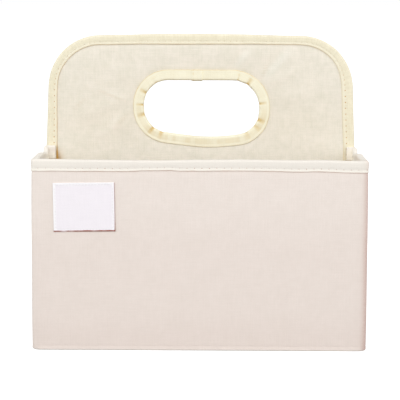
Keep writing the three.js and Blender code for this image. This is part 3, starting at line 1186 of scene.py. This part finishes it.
@dataclass(frozen=True)
class HandlePanel:
    """The upright panel: its two cloth faces, the tape round its edge, and the tape in its hand opening."""

    layers: Layers = Layers()
    edge_relief: TapeRelief = TapeRelief(stitch_from_edge=3.0, pitch=6.0, edge_rise=-0.2, edge_shade=0.6)
    hole_relief: TapeRelief = TapeRelief(
        stitch_from_edge=3.0, pitch=6.0, edge_rise=-0.1, stitch_pinch=0.1, fullness=0.04, edge_shade=0.5
    )
    foot: float = 157.0
    shoulder: float = 152.1
    bend_height: float = 183.4
    height: float = 297.6
    floor: float = 1.3
    foot_rounding: float = 2.5
    side_bend_radius: float = 300.0
    shoulder_radius: float = 53.0
    crown_rise: float = 3.4
    crown_radius: float = 2280.0
    hole_x: float = 1.0
    hole_half: float = 58.65
    hole_height: float = 57.5
    hole_below_crown: float = 46.5
    hole_radii: tuple[float, float, float, float] = (25.0, 27.5, 24.5, 26.0)
    hole_floor_radius: float = 170.0
    hole_lowest: float = 9.0
    hole_rises: tuple[float, float] = (8.3, 6.4)
    edge_leg: float = 10.2
    hole_leg: float = 10.6
    tape_half: float = 2.8
    cloth_middle: float = 1.7
    swell: float = 0.4
    cloth_share: float = 0.93
    overlap_start: float = -8.0
    overlap: float = 10.0
    spokes: int = 264
    rings: int = 38
    creases: tuple[Crease, ...] = (
        Crease(-56.6, 239.1, 0.7, 1.8), Crease(-61.2, 226.0, 0.8, 1.2), Crease(-61.2, 215.5, 0.6, 2.4),
        Crease(-49.5, 201.7, 0.8, 2.2), Crease(-40.4, 196.5, 0.6, 2.6), Crease(38.5, 255.5, 0.6, 1.5),
        Crease(49.7, 250.8, 0.8, 2.6), Crease(61.9, 227.8, 0.7, 1.5), Crease(61.5, 210.4, 0.8, 2.6),
        Crease(56.8, 204.2, 0.6, 2.4), Crease(48.5, 194.2, 0.3, 2.3), Crease(-44.7, 248.2, 0.3, 3.0),
    )
    pale_gaps: tuple[float, ...] = (-30.4, -7.6, 14.3, 41.4)
    folds: tuple[SoftFold, ...] = (
        SoftFold(64, 253, 90, 284, 6.0, 0.8, 0.12),
        SoftFold(61, 252, 67, 268, 1.1, 0.3, -0.2),
        SoftFold(36, 266, 48, 282, 5.0, 0.5, 0.1),
        SoftFold(-104, 241, -77, 230.5, 1.6, 0.3, -0.13),
        SoftFold(-129, 222, -115, 234, 2.2, 0.3, -0.1),
        SoftFold(-88, 203, -74, 217, 3.0, 0.3, -0.1),
        SoftFold(66, 246, 96, 262, 5.0, 0.7),
        SoftFold(70, 232, 118, 236, 7.0, 0.5),
        SoftFold(-70, 236, -122, 214, 7.0, 0.7),
        SoftFold(-66, 214, -108, 192, 6.0, 0.6),
        SoftFold(-64, 248, -104, 272, 6.0, 0.5),
    )

    def _corners(self) -> list[Corner]:
        """The panel's corners on the fold of its tape, from the lower left over the crown."""
        crown = self.height + beyond_arc(self.crown_radius, self.crown_rise, self.shoulder)
        return [
            Corner(-self.foot, self.floor),
            Corner(-self.foot, self.bend_height, self.side_bend_radius),
            Corner(-self.shoulder, crown - self.crown_rise, self.shoulder_radius),
            Corner(0, crown, self.crown_radius),
            Corner(self.shoulder, crown - self.crown_rise, self.shoulder_radius),
            Corner(self.foot, self.bend_height, self.side_bend_radius),
            Corner(self.foot, self.floor),
        ]

    def edge_line(self) -> RoundedLine:
        """The line of the edge tape's fold."""
        return RoundedLine(self._corners())

    def outline(self) -> RoundedLine:
        """The whole outline of the panel's cloth, closed along the base."""
        corners = self._corners()
        first, last = (Corner(corner.across, corner.up, self.foot_rounding) for corner in corners[::6])
        return RoundedLine([first, *corners[1:-1], last], closed=True)

    def hole_line(self) -> RoundedLine:
        """The hand opening's line, on the fold of its tape: it hangs lowest to the right of its middle."""
        offsets = (-self.hole_half, self.hole_half, self.hole_lowest)
        left, right, lowest = (self.hole_x + offset for offset in offsets)
        top = self.height - self.hole_below_crown
        (left_rise, right_rise), radii = self.hole_rises, self.hole_radii
        floor = top - self.hole_height - beyond_arc(self.hole_floor_radius, left_rise, lowest - left)
        return RoundedLine([
            Corner(left, top, radii[0]),
            Corner(right, top, radii[1]),
            Corner(right, floor + right_rise, radii[2]),
            Corner(lowest, floor, self.hole_floor_radius),
            Corner(left, floor + left_rise, radii[3]),
        ], closed=True)

    def _tape_section(self, leg: float) -> RoundedLine:
        """A tape's section, from the free edge on the front to the one on the back."""
        half, top, bend = self.tape_half, -self.layers.tape / 2, self.layers.tape_fold
        front = [Corner(-half, -leg), Corner(-half, top, bend)]
        return RoundedLine([*front, Corner(half, top, bend), Corner(half, -leg)])

    def edge_tape(self, finishes: Finishes) -> None:
        """Makes the tape round the panel's sides and crown."""
        line, section = self.edge_line(), self._tape_section(self.edge_leg)
        shoulders = [line.run_nearest(way * self.shoulder, self.height) for way in (-1, 1)]
        legs = [(line.run_nearest(x, up), leg) for x, up, leg in EDGE_TAPE_LEGS]
        relief = self.edge_relief

        def lay(run: float, girth: float) -> Vector:
            """The place of the tape at a run and a girth."""
            at, out = line.at(run)
            back, from_edge = leg_of(section.length, girth)
            spot, outwards = section.at(girth)
            spot.y *= eased(legs, run) / self.edge_leg
            turn = sum(ridge(run - shoulder, 30) for shoulder in shoulders)
            gather = 0.16 * turn * math.sin(2 * math.pi * run / 5.2) * ridge(from_edge, 5)
            lifted = spot + outwards * (relief.lift(run, from_edge, 21.0 + back) + gather)
            lifted.y -= relief.sway(run, from_edge, 21.0 + back)
            soft = 0.25 * ripple(run / 40, 5.0) * ridge(girth - section.length / 2, 5)
            spot = at + out * (lifted.y + soft)
            return Vector((spot.x, lifted.x, spot.y))

        def shade(run: float, girth: float) -> float:
            """Painted shadow along both free edges, fading past the right shoulder, a painted highlight along
            each border, and painted shadow down beside the pouch ends, most at the left.
            """
            edges = relief.shade(run, girth, 2.0) + relief.shade(run, section.length - girth, 3.0)
            edges *= 1 - 0.85 * smooth_step(shoulders[1] - 15, shoulders[1] + 15, run)
            from_edge = min(girth, section.length - girth)
            # Painted shadow in the gap beside the pouch ends.
            foot = ridge(max(0.0, line.at(run)[0].y - 176), 6) * (1.0 if run < line.length / 2 else 0.15)
            return edges - 0.35 * ridge(from_edge - 1.8, 0.8) + foot * ridge(from_edge, 3)

        sheet = Sheet("panel_edge_tape", "handle_edge_binding", finishes.binding, "folded", self.layers.tape)
        cut = self._tape_cut(line.columns(2.6, 2.0), section.length)
        self._sew_tape(sheet, cut, lay, shade, relief, (1.0, line.length - 1.0), -1, finishes.binding_thread)

    @staticmethod
    def _tape_cut(columns: Sequence[float], full: float) -> ClothCut:
        """The cut of one of the panel's tapes, with finer rows by its free edges."""
        last = (full - step for step in reversed(FREE_EDGE_ROWS))
        return ClothCut(columns, [*FREE_EDGE_ROWS, *even_rows(2.0, full - 2.0, 0.85), *last])

    def _sew_tape(
        self, sheet: Sheet, cut: ClothCut, lay: Laying, shade: Shading, relief: TapeRelief,
        ends: tuple[float, float], way: int, thread: Finish
    ) -> None:
        """Sews one of the panel's tapes to the two cloths.

        Args:
            sheet: the tape as a piece.
            cut: its flat cut.
            lay: gives the place of a run and a girth.
            shade: gives how deep the colour is there.
            relief: how the tape stands off, with its stitch line.
            ends: the runs between which it is stitched.
            way: the side of the tape that its girth turns to, as a sign.
            thread: the stitches' finish.
        """
        stitch = StitchRow(relief.pitch, length=4.7, thread=0.5)
        lift = way * (self.layers.tape / 2 + 0.1)
        tape = SewnTape(sheet, cut, lay, shade, stitch, relief.stitch_from_edge, ends, lift)
        tape.sew(f"{sheet.name}_stitches", thread, ["panel_front_cloth", "panel_back_cloth"])

    def hole_tape(self, finishes: Finishes) -> None:
        """Makes the tape in the hand opening, puckered round its ends and lapped over itself at the top."""
        line, section = self.hole_line(), self._tape_section(self.hole_leg)
        relief = self.hole_relief
        puckers = [(line.run_nearest(crease.x, crease.up), crease) for crease in self.creases]
        start = line.run_nearest(self.overlap_start, self.height - self.hole_below_crown)
        end = start + line.length + self.overlap

        def around(run: float) -> float:
            """The run on the closed line."""
            return run % line.length

        def pull(run: float) -> float:
            """How deep the puckers are at a run."""
            total = 0.0
            for middle, crease in puckers:
                away = (around(run) - middle + line.length / 2) % line.length - line.length / 2
                swell = 0.4 * ridge(abs(away) - 1.6 * crease.width, crease.width)
                total += crease.depth * (ridge(away, crease.width) - swell)
            return total

        def lay(run: float, girth: float) -> Vector:
            """The place of the tape at a run and a girth."""
            at, out = line.at(around(run))
            back, from_edge = leg_of(section.length, girth)
            spot, outwards = section.at(girth)
            from_fold = abs(girth - section.length / 2)
            reach = math.exp(-max(0.0, from_fold - 3) / 5.5)
            lapped = 0.85 * smooth_step(end - self.overlap - 1.5, end - self.overlap, run)
            lift = relief.lift(run, from_edge, 31.0 + back) - 0.7 * pull(run) * reach + lapped
            lifted = spot + outwards * lift
            lifted.y -= relief.sway(run, from_edge, 31.0 + back)
            spot = at - out * lifted.y
            return Vector((spot.x, lifted.x, spot.y))

        def shade(run: float, girth: float) -> float:
            """Painted shadow along the free edges and in the puckers, painted shade and painted light at the
            top fold, golden patches with pale gaps low down, a painted highlight along each border, and a
            dark line at the lapped end.
            """
            edges = relief.shade(run, girth, 4.0) + relief.shade(run, section.length - girth, 5.0)
            from_fold = abs(girth - section.length / 2)
            from_edge = section.length / 2 - from_fold
            reach = math.exp(-max(0.0, from_fold - 2) / 5)
            cut_end = 0.05 * ridge(end - run, 0.8) + 0.3 * ridge(run - (end - self.overlap + 0.6), 0.8)
            at = line.at(around(run))[0]
            low = 1 - smooth_step(200, 245, at.y)
            gaps = sum(ridge(at.x - x, 1.6) for x in self.pale_gaps) * low
            band = smooth_step(3.2, 5.2, from_fold) * (1 - smooth_step(8.8, 10.8, from_fold))
            cells = 0.3 + 0.7 * smooth_step(-0.2, 0.15, ripple(run / 10, 8.0))
            golden = 0.15 * band * (0.2 + 0.8 * low) * cells * (1 - min(1.0, gaps))
            # At the top, the fold gets a line of painted shade, and painted light on its shaded underside.
            crown = smooth_step(240, 250, at.y)
            golden += crown * 0.22 * ridge(from_fold - 2.2, 0.8)
            pale = crown * (0.3 * ridge(from_fold - 5, 2) + 0.6 * ridge(from_fold, 0.9)) + 0.3 * gaps * band
            # A painted highlight along each border.
            pale += 0.35 * ridge(from_edge - 1.8, 0.8)
            # Painted shadow lines along the edges and in the puckers.
            shadow_and_edge_lines = (1.2 - 0.6 * low) * edges + 1.5 * max(0.0, pull(run)) * reach
            return min(1.0, shadow_and_edge_lines + cut_end + golden - pale)

        sheet = Sheet("hand_hole_tape", "hand_hole_binding", finishes.hole_tape, "folded", self.layers.tape)
        cut = self._tape_cut(even_rows(start, end, 1.15), section.length)
        self._sew_tape(sheet, cut, lay, shade, relief, (start, end - 1.0), 1, finishes.binding_thread)

    @staticmethod
    def _ring_at(line: RoundedLine, middle: Vector, inset: float) -> Callable[[float], Vector]:
        """Finds the point of a closed line, moved in by an inset, that lies in a direction from a middle.

        Args:
            line: a closed convex line round the middle.
            middle: the point that the directions start at.
            inset: how far the line is moved inwards.

        Returns:
            A function of the direction's angle that gives the point.
        """
        runs = np.linspace(0, line.length, 3000, endpoint=False)
        spots = [line.at(float(run)) for run in runs]
        points = np.array([(at - out * inset - middle)[:] for at, out in spots])
        angles = np.arctan2(points[:, 1], points[:, 0])
        order = np.argsort(angles)
        angles, points = angles[order], points[order]

        def at(angle: float) -> Vector:
            """The point in the direction of an angle."""
            x, up = (np.interp(angle, angles, points[:, i], period=2 * math.pi) for i in (0, 1))
            return middle + Vector((x, up))

        return at

    def cloth(self, side: Side, finishes: Finishes) -> None:
        """Makes the cloth on one face of the panel, drawn softly between its edge and the hand opening."""
        hidden = self.layers.under_tape
        middle = Vector((self.hole_x, self.height - self.hole_below_crown - self.hole_height / 2))
        hole = self._ring_at(self.hole_line(), middle, -hidden)
        edge = self._ring_at(self.outline(), middle, hidden)
        mesh = bmesh.new()
        depth = mesh.verts.layers.float.new(SHADE)
        for ring in (hole, edge):
            for vert in bmesh.ops.create_circle(mesh, segments=self.spokes, radius=1.0)["verts"]:
                spot = ring(math.atan2(vert.co.y, vert.co.x))
                vert.co = (spot.x, 0.0, spot.y)
        across = bmesh.ops.bridge_loops(mesh, edges=mesh.edges[:])["edges"]
        bmesh.ops.subdivide_edges(mesh, edges=across, cuts=self.rings, use_grid_fill=True)
        bindings = self._binding_tree()
        seed = side.value * 13.0
        mirror = 1 if side is Side.FRONT else -1
        for vert in mesh.verts:
            x, up = vert.co.x, vert.co.z
            away = bindings.find((x, up, 0.0))[2]
            calm = smooth_step(9, 22, away)
            fold = sum(fold.lift(mirror * x, up) for fold in self.folds)
            drift = 0.3 + 0.3 * ripple(x / 34, up / 30, seed) + 0.14 * ripple(x / 11, up / 13, seed)
            swell = self.swell * smooth_step(self.edge_leg + 0.5, self.edge_leg + 3, away)
            vert.co.y = side.value * (self.cloth_middle + swell + calm * (max(0.0, drift) + fold))
            # Painted light by the rim: the colour deepens higher up, so the cloth by the rim, where the pouch
            # blocks light, stays paler. The corner term is a painted shadow beside the pouch end, and the
            # folds add painted light and shade.
            painted_shade_high_up = 0.11 * smooth_step(168, 215, up)
            corner = 1.1 * ridge(max(0.0, mirror * x + 147), 5) * ridge(max(0.0, up - 170), 7)
            folded = sum(fold.shade(mirror * x, up) for fold in self.folds)
            vert[depth] = painted_shade_high_up + corner + folded
        project_flat(mesh)
        name, node = f"panel_{side.label}_cloth", f"handle_{side.label}_cover"
        sheet = Sheet(name, node, finishes.panel, "stretched", self.layers.panel_cloth, softening=0)
        flat = (2 * self.foot * MM, self.height * MM)
        sheet.sew(mesh, flat, rests_on=["handle_board"], area=self.cloth_share * flat[0] * flat[1])

    def _binding_tree(self) -> kdtree.KDTree:
        """The folds of both tapes as a tree of near points."""
        lines = (self.edge_line(), self.hole_line())
        spots = [line.at(run)[0] for line in lines for run in line.columns(2.0, 2.0)]
        tree = kdtree.KDTree(len(spots))
        for index, spot in enumerate(spots):
            tree.insert((spot.x, spot.y, 0.0), index)
        tree.balance()
        return tree

    def build(self, finishes: Finishes) -> None:
        """Makes the panel's cloths and tapes."""
        for side in Side:
            self.cloth(side, finishes)
        self.edge_tape(finishes)
        self.hole_tape(finishes)


@dataclass(frozen=True)
class SewnLabel:
    """The bare label on the front wall, with its edges folded under on three sides and a cut lower edge."""

    width: float = 58.2
    height: float = 46.6
    centre_x: float = -108.7
    centre_up: float = 138.2
    clearance: float = 0.1
    tilt: float = math.radians(-0.8)
    thickness: float = 0.45
    hem: float = 2.6
    hem_rise: float = 0.3
    stitch_in: float = 1.9

    def build(self, pouch: Pouch, finishes: Finishes) -> None:
        """Makes the label and the stitches round it.

        Args:
            pouch: the pouch whose outer cloth carries the label.
            finishes: the materials.
        """
        half_width, half_height = self.width / 2, self.height / 2
        middle_run = pouch.middle_run()
        turn = Matrix.Rotation(-self.tilt, 2)

        def lay(run: float, girth: float) -> Vector:
            """The place of the label at a run and a girth, which start at its lower left corner."""
            x, up = run - half_width, girth - half_height
            to_side, to_top = half_width - abs(x), half_height - up
            hem = self.hem_rise * (1 - smooth_step(self.hem - 0.7, self.hem, min(to_side, to_top)))
            pinch = 0.16 * ridge(min(to_side, to_top, half_height + up) - self.stitch_in, 0.6)
            curl = 0.2 * ridge(half_height + up, 2.2) * (0.6 + 0.4 * math.sin(x / 7))
            curl += 0.25 * ridge(to_side, 1.2)
            sway = 0.12 * (1 + ripple(x / 9, up / 8, 4.0))
            spot = turn @ Vector((x, up))
            at_x, at_up = self.centre_x + spot.x, self.centre_up + spot.y
            on_wall = middle_run + at_x
            cloth = pouch.stand(on_wall, -pouch.stand_off(on_wall, at_up), at_up)
            off = self.clearance + self.thickness / 2 + hem - pinch + curl * 0.6 + sway
            return Vector((at_x, cloth.y - off, at_up))

        def shade(run: float, girth: float) -> float:
            """Painted highlights on the raised hems, and a brown line below and up the right side that is
            partly the raw edge and partly painted shadow under the label's edge.
            """
            to_right = self.width - run
            inside = min(run, girth, to_right, self.height - girth)
            # The brown line's strength varies along the lower edge; the line is partly the raw edge and
            # partly painted shadow.
            shadow_and_edge_lines = 0.95 + 0.5 * ripple(run / 7, 2.0) - 0.7 * ridge(run - 10, 3)
            raw_edge_and_shadow = ridge(max(0.0, girth - 0.9), 0.6) * shadow_and_edge_lines
            raw_edge_and_shadow += 0.75 * ridge(to_right, 0.6) * (1 + ridge(girth, 8))
            # Painted highlight on the raised hems.
            hem = 1 - smooth_step(self.hem - 0.6, self.hem + 0.4, inside)
            return raw_edge_and_shadow - 0.8 * hem * (1 - smooth_step(0.1, 0.4, raw_edge_and_shadow))

        cut = ClothCut(self._lines(self.width), self._lines(self.height))

        def turned(run: float, girth: float) -> Vector:
            """The laying with run and girth changed round, for the stitches up the sides."""
            return lay(girth, run)

        threads = bmesh.new()
        stitch = StitchRow(pitch=3.0, length=2.3, thread=0.36)
        off = self.thickness / 2 + 0.06
        across = (self.stitch_in, self.width - self.stitch_in)
        upwards = (self.stitch_in, self.height - self.stitch_in)
        for girth in upwards:
            stitch.sew(threads, lay, girth, across, off)
        for girth in across:
            stitch.sew(threads, turned, girth, upwards, -off)
        stitches = place_piece(threads, "label_stitches", finishes.label_thread)
        sheet = Sheet("sewn_label", "label_patch", finishes.label, "laid", self.thickness)
        sheet.sew(cut.laid(lay, shade), cut.flat, rests_on=["front_wall_cloth"], with_pieces=[stitches])

    @staticmethod
    def _lines(length: float) -> list[float]:
        """The grid lines over a length of the label, which are closer along its two hems."""
        hem = [0.0, 0.5, 1.1, 1.6, 2.1, 2.7, 3.3]
        return hem + even_rows(4.2, length - 4.2, 1.6) + [length - step for step in reversed(hem)]


@dataclass(frozen=True)
class FloorInsert:
    """A loose floor insert's cloth: a cover over the board, with its hem turned in underneath."""

    side: Side
    thickness: float = 0.8
    corner_radius: float = 6.0
    edge_radius: float = 1.6
    hem: float = 14.0
    square: float = 7.0
    unevenness: float = 0.5

    def build(self, finishes: Finishes) -> None:
        """Makes the cover from a block of the CAD cover's size."""
        label = self.side.label
        low, high = (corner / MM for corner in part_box(f"{label}_base_board_cover"))
        mesh = bmesh.new()
        size = high - low
        place = Matrix.Translation((low + high) / 2) @ Matrix.Diagonal((*size, 1.0))
        bmesh.ops.create_cube(mesh, size=1.0, matrix=place)
        upright = [edge for edge in mesh.edges if abs((edge.verts[0].co - edge.verts[1].co).z) > size.z / 2]
        round_off(mesh, upright, self.corner_radius, 6)
        level = {face: abs(face.normal.z) > 0.5 for face in mesh.faces}
        rims = [edge for edge in mesh.edges if len({level[face] for face in edge.link_faces}) == 2]
        round_off(mesh, rims, self.edge_radius, 3)
        self._open_underside(mesh, low, high)
        self._soften_top(mesh, low, high)
        project_flat(mesh)
        margin = self.hem + size.z
        flat = ((size.x + 2 * margin) * MM, (size.y + 2 * margin) * MM)
        name, node = f"{label}_insert_cloth", f"{label}_base_board_cover"
        sheet = Sheet(name, node, finishes.lining, "folded", self.thickness, 0, -1.0, f"{label}_insert")
        sheet.sew(mesh, flat, rests_on=[f"{label}_base_board"])

    def _open_underside(self, mesh: bmesh.types.BMesh, low: Vector, high: Vector) -> None:
        """Opens the underside inside the hem."""
        bottom = min(mesh.faces, key=lambda face: face.calc_center_median().z)
        bmesh.ops.inset_region(mesh, faces=[bottom], thickness=self.thickness, use_even_offset=True)
        half, middle = (high - low) / 2, (high + low) / 2
        share = Vector((1 - self.hem / half.x, 1 - self.hem / half.y, 1.0))
        bmesh.ops.scale(mesh, vec=share, space=Matrix.Translation(-middle), verts=bottom.verts)
        bmesh.ops.delete(mesh, geom=[bottom], context="FACES")

    def _soften_top(self, mesh: bmesh.types.BMesh, low: Vector, high: Vector) -> None:
        """Divides the top into squares, and lets it lie a little unevenly on its board."""
        for axis in (0, 1):
            direction = Vector((axis == 0, axis == 1, 0.0))
            for place in even_rows(low[axis] + self.hem, high[axis] - self.hem, self.square):
                geometry = mesh.verts[:] + mesh.edges[:] + mesh.faces[:]
                bmesh.ops.bisect_plane(mesh, geom=geometry, plane_co=direction * place, plane_no=direction)
        for vert in mesh.verts:
            if vert.co.z > high.z - 0.01:
                inside = min(vert.co.x - low.x, high.x - vert.co.x, vert.co.y - low.y, high.y - vert.co.y)
                wave = 0.5 + 0.5 * ripple(vert.co.x / 26, vert.co.y / 19, 5.0 * self.side.value)
                vert.co.z += self.unevenness * wave * smooth_step(2, 12, inside)


@dataclass(frozen=True)
class BaseCloth:
    """The bottom cloth, which lies just above the turned-in edge of the wall cloths."""

    half_width: float = 158.0
    half_depth: float = 118.0
    inset: float = 1.7
    corner_radius: float = 3.0
    thickness: float = 1.0
    lift: float = 0.15

    def build(self, finishes: Finishes) -> None:
        """Makes the cloth."""
        half_x, half_y = self.half_width - self.inset, self.half_depth - self.inset
        mesh = bmesh.new()
        middle = Matrix.Translation((0, 0, self.thickness / 2 + self.lift))
        place = middle @ Matrix.Diagonal((half_x, half_y, 1, 1))
        bmesh.ops.create_grid(mesh, x_segments=1, y_segments=1, size=1.0, matrix=place)
        round_off(mesh, mesh.verts[:], self.corner_radius, 5, "VERTICES")
        project_flat(mesh)
        sheet = Sheet("base_cloth", "base_cover", finishes.outer, "laid", self.thickness, softening=0)
        sheet.sew(mesh, (2 * half_x * MM, 2 * half_y * MM))


def dress_boards(nodes: Mapping[str, bpy.types.Object], finishes: Finishes) -> None:
    """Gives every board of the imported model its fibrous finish."""
    for name, node in nodes.items():
        if name.endswith("_board"):
            for slot in node.material_slots:
                slot.material = finishes.card
            LOG.info("%s is dressed as board", name)


# The studio


@dataclass(frozen=True)
class Lamp:
    """A soft square lamp: where it hangs, how wide it is, and its power in watts."""

    name: str
    place: tuple[float, float, float]
    width: float
    power: float

    def hang(self, target: Vector) -> None:
        """Hangs the lamp, turned to a target."""
        light = bpy.data.lights.new(self.name, "AREA")
        light.size = self.width
        light.energy = self.power
        lamp = put_in_scene(self.name, light)
        lamp.location = self.place
        lamp.rotation_euler = (target - lamp.location).to_track_quat("-Z", "Y").to_euler()


@dataclass(frozen=True)
class Studio:
    """A pale floor, soft lamps, a plain surround, and a camera at the photograph's viewing angle."""

    camera_place: tuple[float, float, float] = (0.0070, -1.4020, 0.3319)
    camera_yaw: float = math.radians(-0.294)
    camera_pitch: float = math.radians(8.268)
    camera_roll: float = math.radians(-0.234)
    lens: float = 124.06
    sensor: float = 36.0
    floor_size: float = 160.0
    floor_colour: Colour = (170, 170, 170)
    floor_glow: float = 0.9
    surround: float = 0.6
    lamp_target: tuple[float, float, float] = (0.0, 0.0, 0.15)
    lamps: tuple[Lamp, ...] = (
        Lamp("key_lamp", (-0.7, -1.9, 1.3), 1.8, 21.0),
        Lamp("fill_lamp", (1.0, -1.9, 0.8), 1.8, 12.5),
        Lamp("left_lamp", (-1.8, -0.2, 0.6), 1.4, 5.0),
        Lamp("right_lamp", (1.8, -0.2, 0.6), 1.4, 6.5),
    )

    def _camera(self) -> None:
        """Places the camera."""
        lens = bpy.data.cameras.new("camera")
        lens.lens = self.lens
        lens.sensor_width = self.sensor
        camera = put_in_scene("camera", lens)
        turns = ((-self.camera_yaw, "Z"), (QUARTER - self.camera_pitch, "X"), (-self.camera_roll, "Z"))
        yaw, pitch, roll = (Matrix.Rotation(angle, 4, axis) for angle, axis in turns)
        camera.matrix_world = Matrix.Translation(self.camera_place) @ (yaw @ pitch) @ roll
        bpy.context.scene.camera = camera

    @staticmethod
    def _seen(bench: Bench) -> Wire:
        """Is 1 for rays that the camera, a gloss or a glass sends, and 0 for the light's own rays."""
        path = bench.node("ShaderNodeLightPath", {}, {}, "Is Camera Ray")
        return (path + path.out("Is Glossy Ray") + path.out("Is Transmission Ray")).at_most(1.0)

    def _floor(self) -> None:
        """Lays the floor, which looks white and keeps the caddy's shadow."""
        bench = Bench(bpy.data.materials.new("studio_floor"))
        plain = bench.node("ShaderNodeBsdfDiffuse", {}, {"Color": colour_of(self.floor_colour)})
        glow = bench.node("ShaderNodeEmission", {}, {"Color": WHITE, "Strength": self.floor_glow})
        bright = bench.node("ShaderNodeAddShader", {}, {0: plain, 1: glow})
        shown = bench.node("ShaderNodeMixShader", {}, {0: self._seen(bench), 1: plain, 2: bright})
        bench.node("ShaderNodeOutputMaterial", {}, {"Surface": shown})
        mesh = bmesh.new()
        bmesh.ops.create_grid(mesh, x_segments=1, y_segments=1, size=self.floor_size / 2)
        floor = mesh_object(mesh, "floor", bench.material)
        floor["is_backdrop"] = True

    def _surround(self) -> None:
        """Sets the world: white where it is seen, and a plain grey light elsewhere."""
        world = bpy.data.worlds.new("surround")
        bench = Bench(world)
        light, white = (
            bench.node("ShaderNodeBackground", {}, {"Color": WHITE, "Strength": strength})
            for strength in (self.surround, 1.0)
        )
        shown = bench.node("ShaderNodeMixShader", {}, {0: self._seen(bench), 1: light, 2: white})
        bench.node("ShaderNodeOutputWorld", {}, {"Surface": shown})
        bpy.context.scene.world = world

    def build(self) -> None:
        """Sets up the whole studio."""
        bpy.context.scene.view_settings.view_transform = "Standard"
        self._camera()
        self._floor()
        self._surround()
        for lamp in self.lamps:
            lamp.hang(Vector(self.lamp_target))


def write_sizes() -> None:
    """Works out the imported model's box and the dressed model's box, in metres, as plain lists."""
    boxes = {"cad": CAD_BOX, "visual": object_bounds()}
    plain = {name: [list(low), list(high)] for name, (low, high) in boxes.items()}


def main() -> None:
    """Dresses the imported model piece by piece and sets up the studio."""
    logging.basicConfig(level=logging.INFO, format="%(message)s")
    finishes = Finishes()
    Studio().build()
    HandlePanel().build(finishes)
    front = Pouch(Side.FRONT, FRONT_RIM_DROPS, FRONT_TAPE_LEGS, flanges=(Flange(10.8, 1.1), Flange(9.3, 0.5)))
    back = Pouch(Side.BACK, BACK_RIM_DROPS)
    for pouch in (front, back):
        pouch.build(finishes)
    for side in Side:
        FloorInsert(side).build(finishes)
    SewnLabel().build(front, finishes)
    BaseCloth().build(finishes)
    dress_boards(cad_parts, finishes)
    write_sizes()


if __name__ == "__main__":
    main()
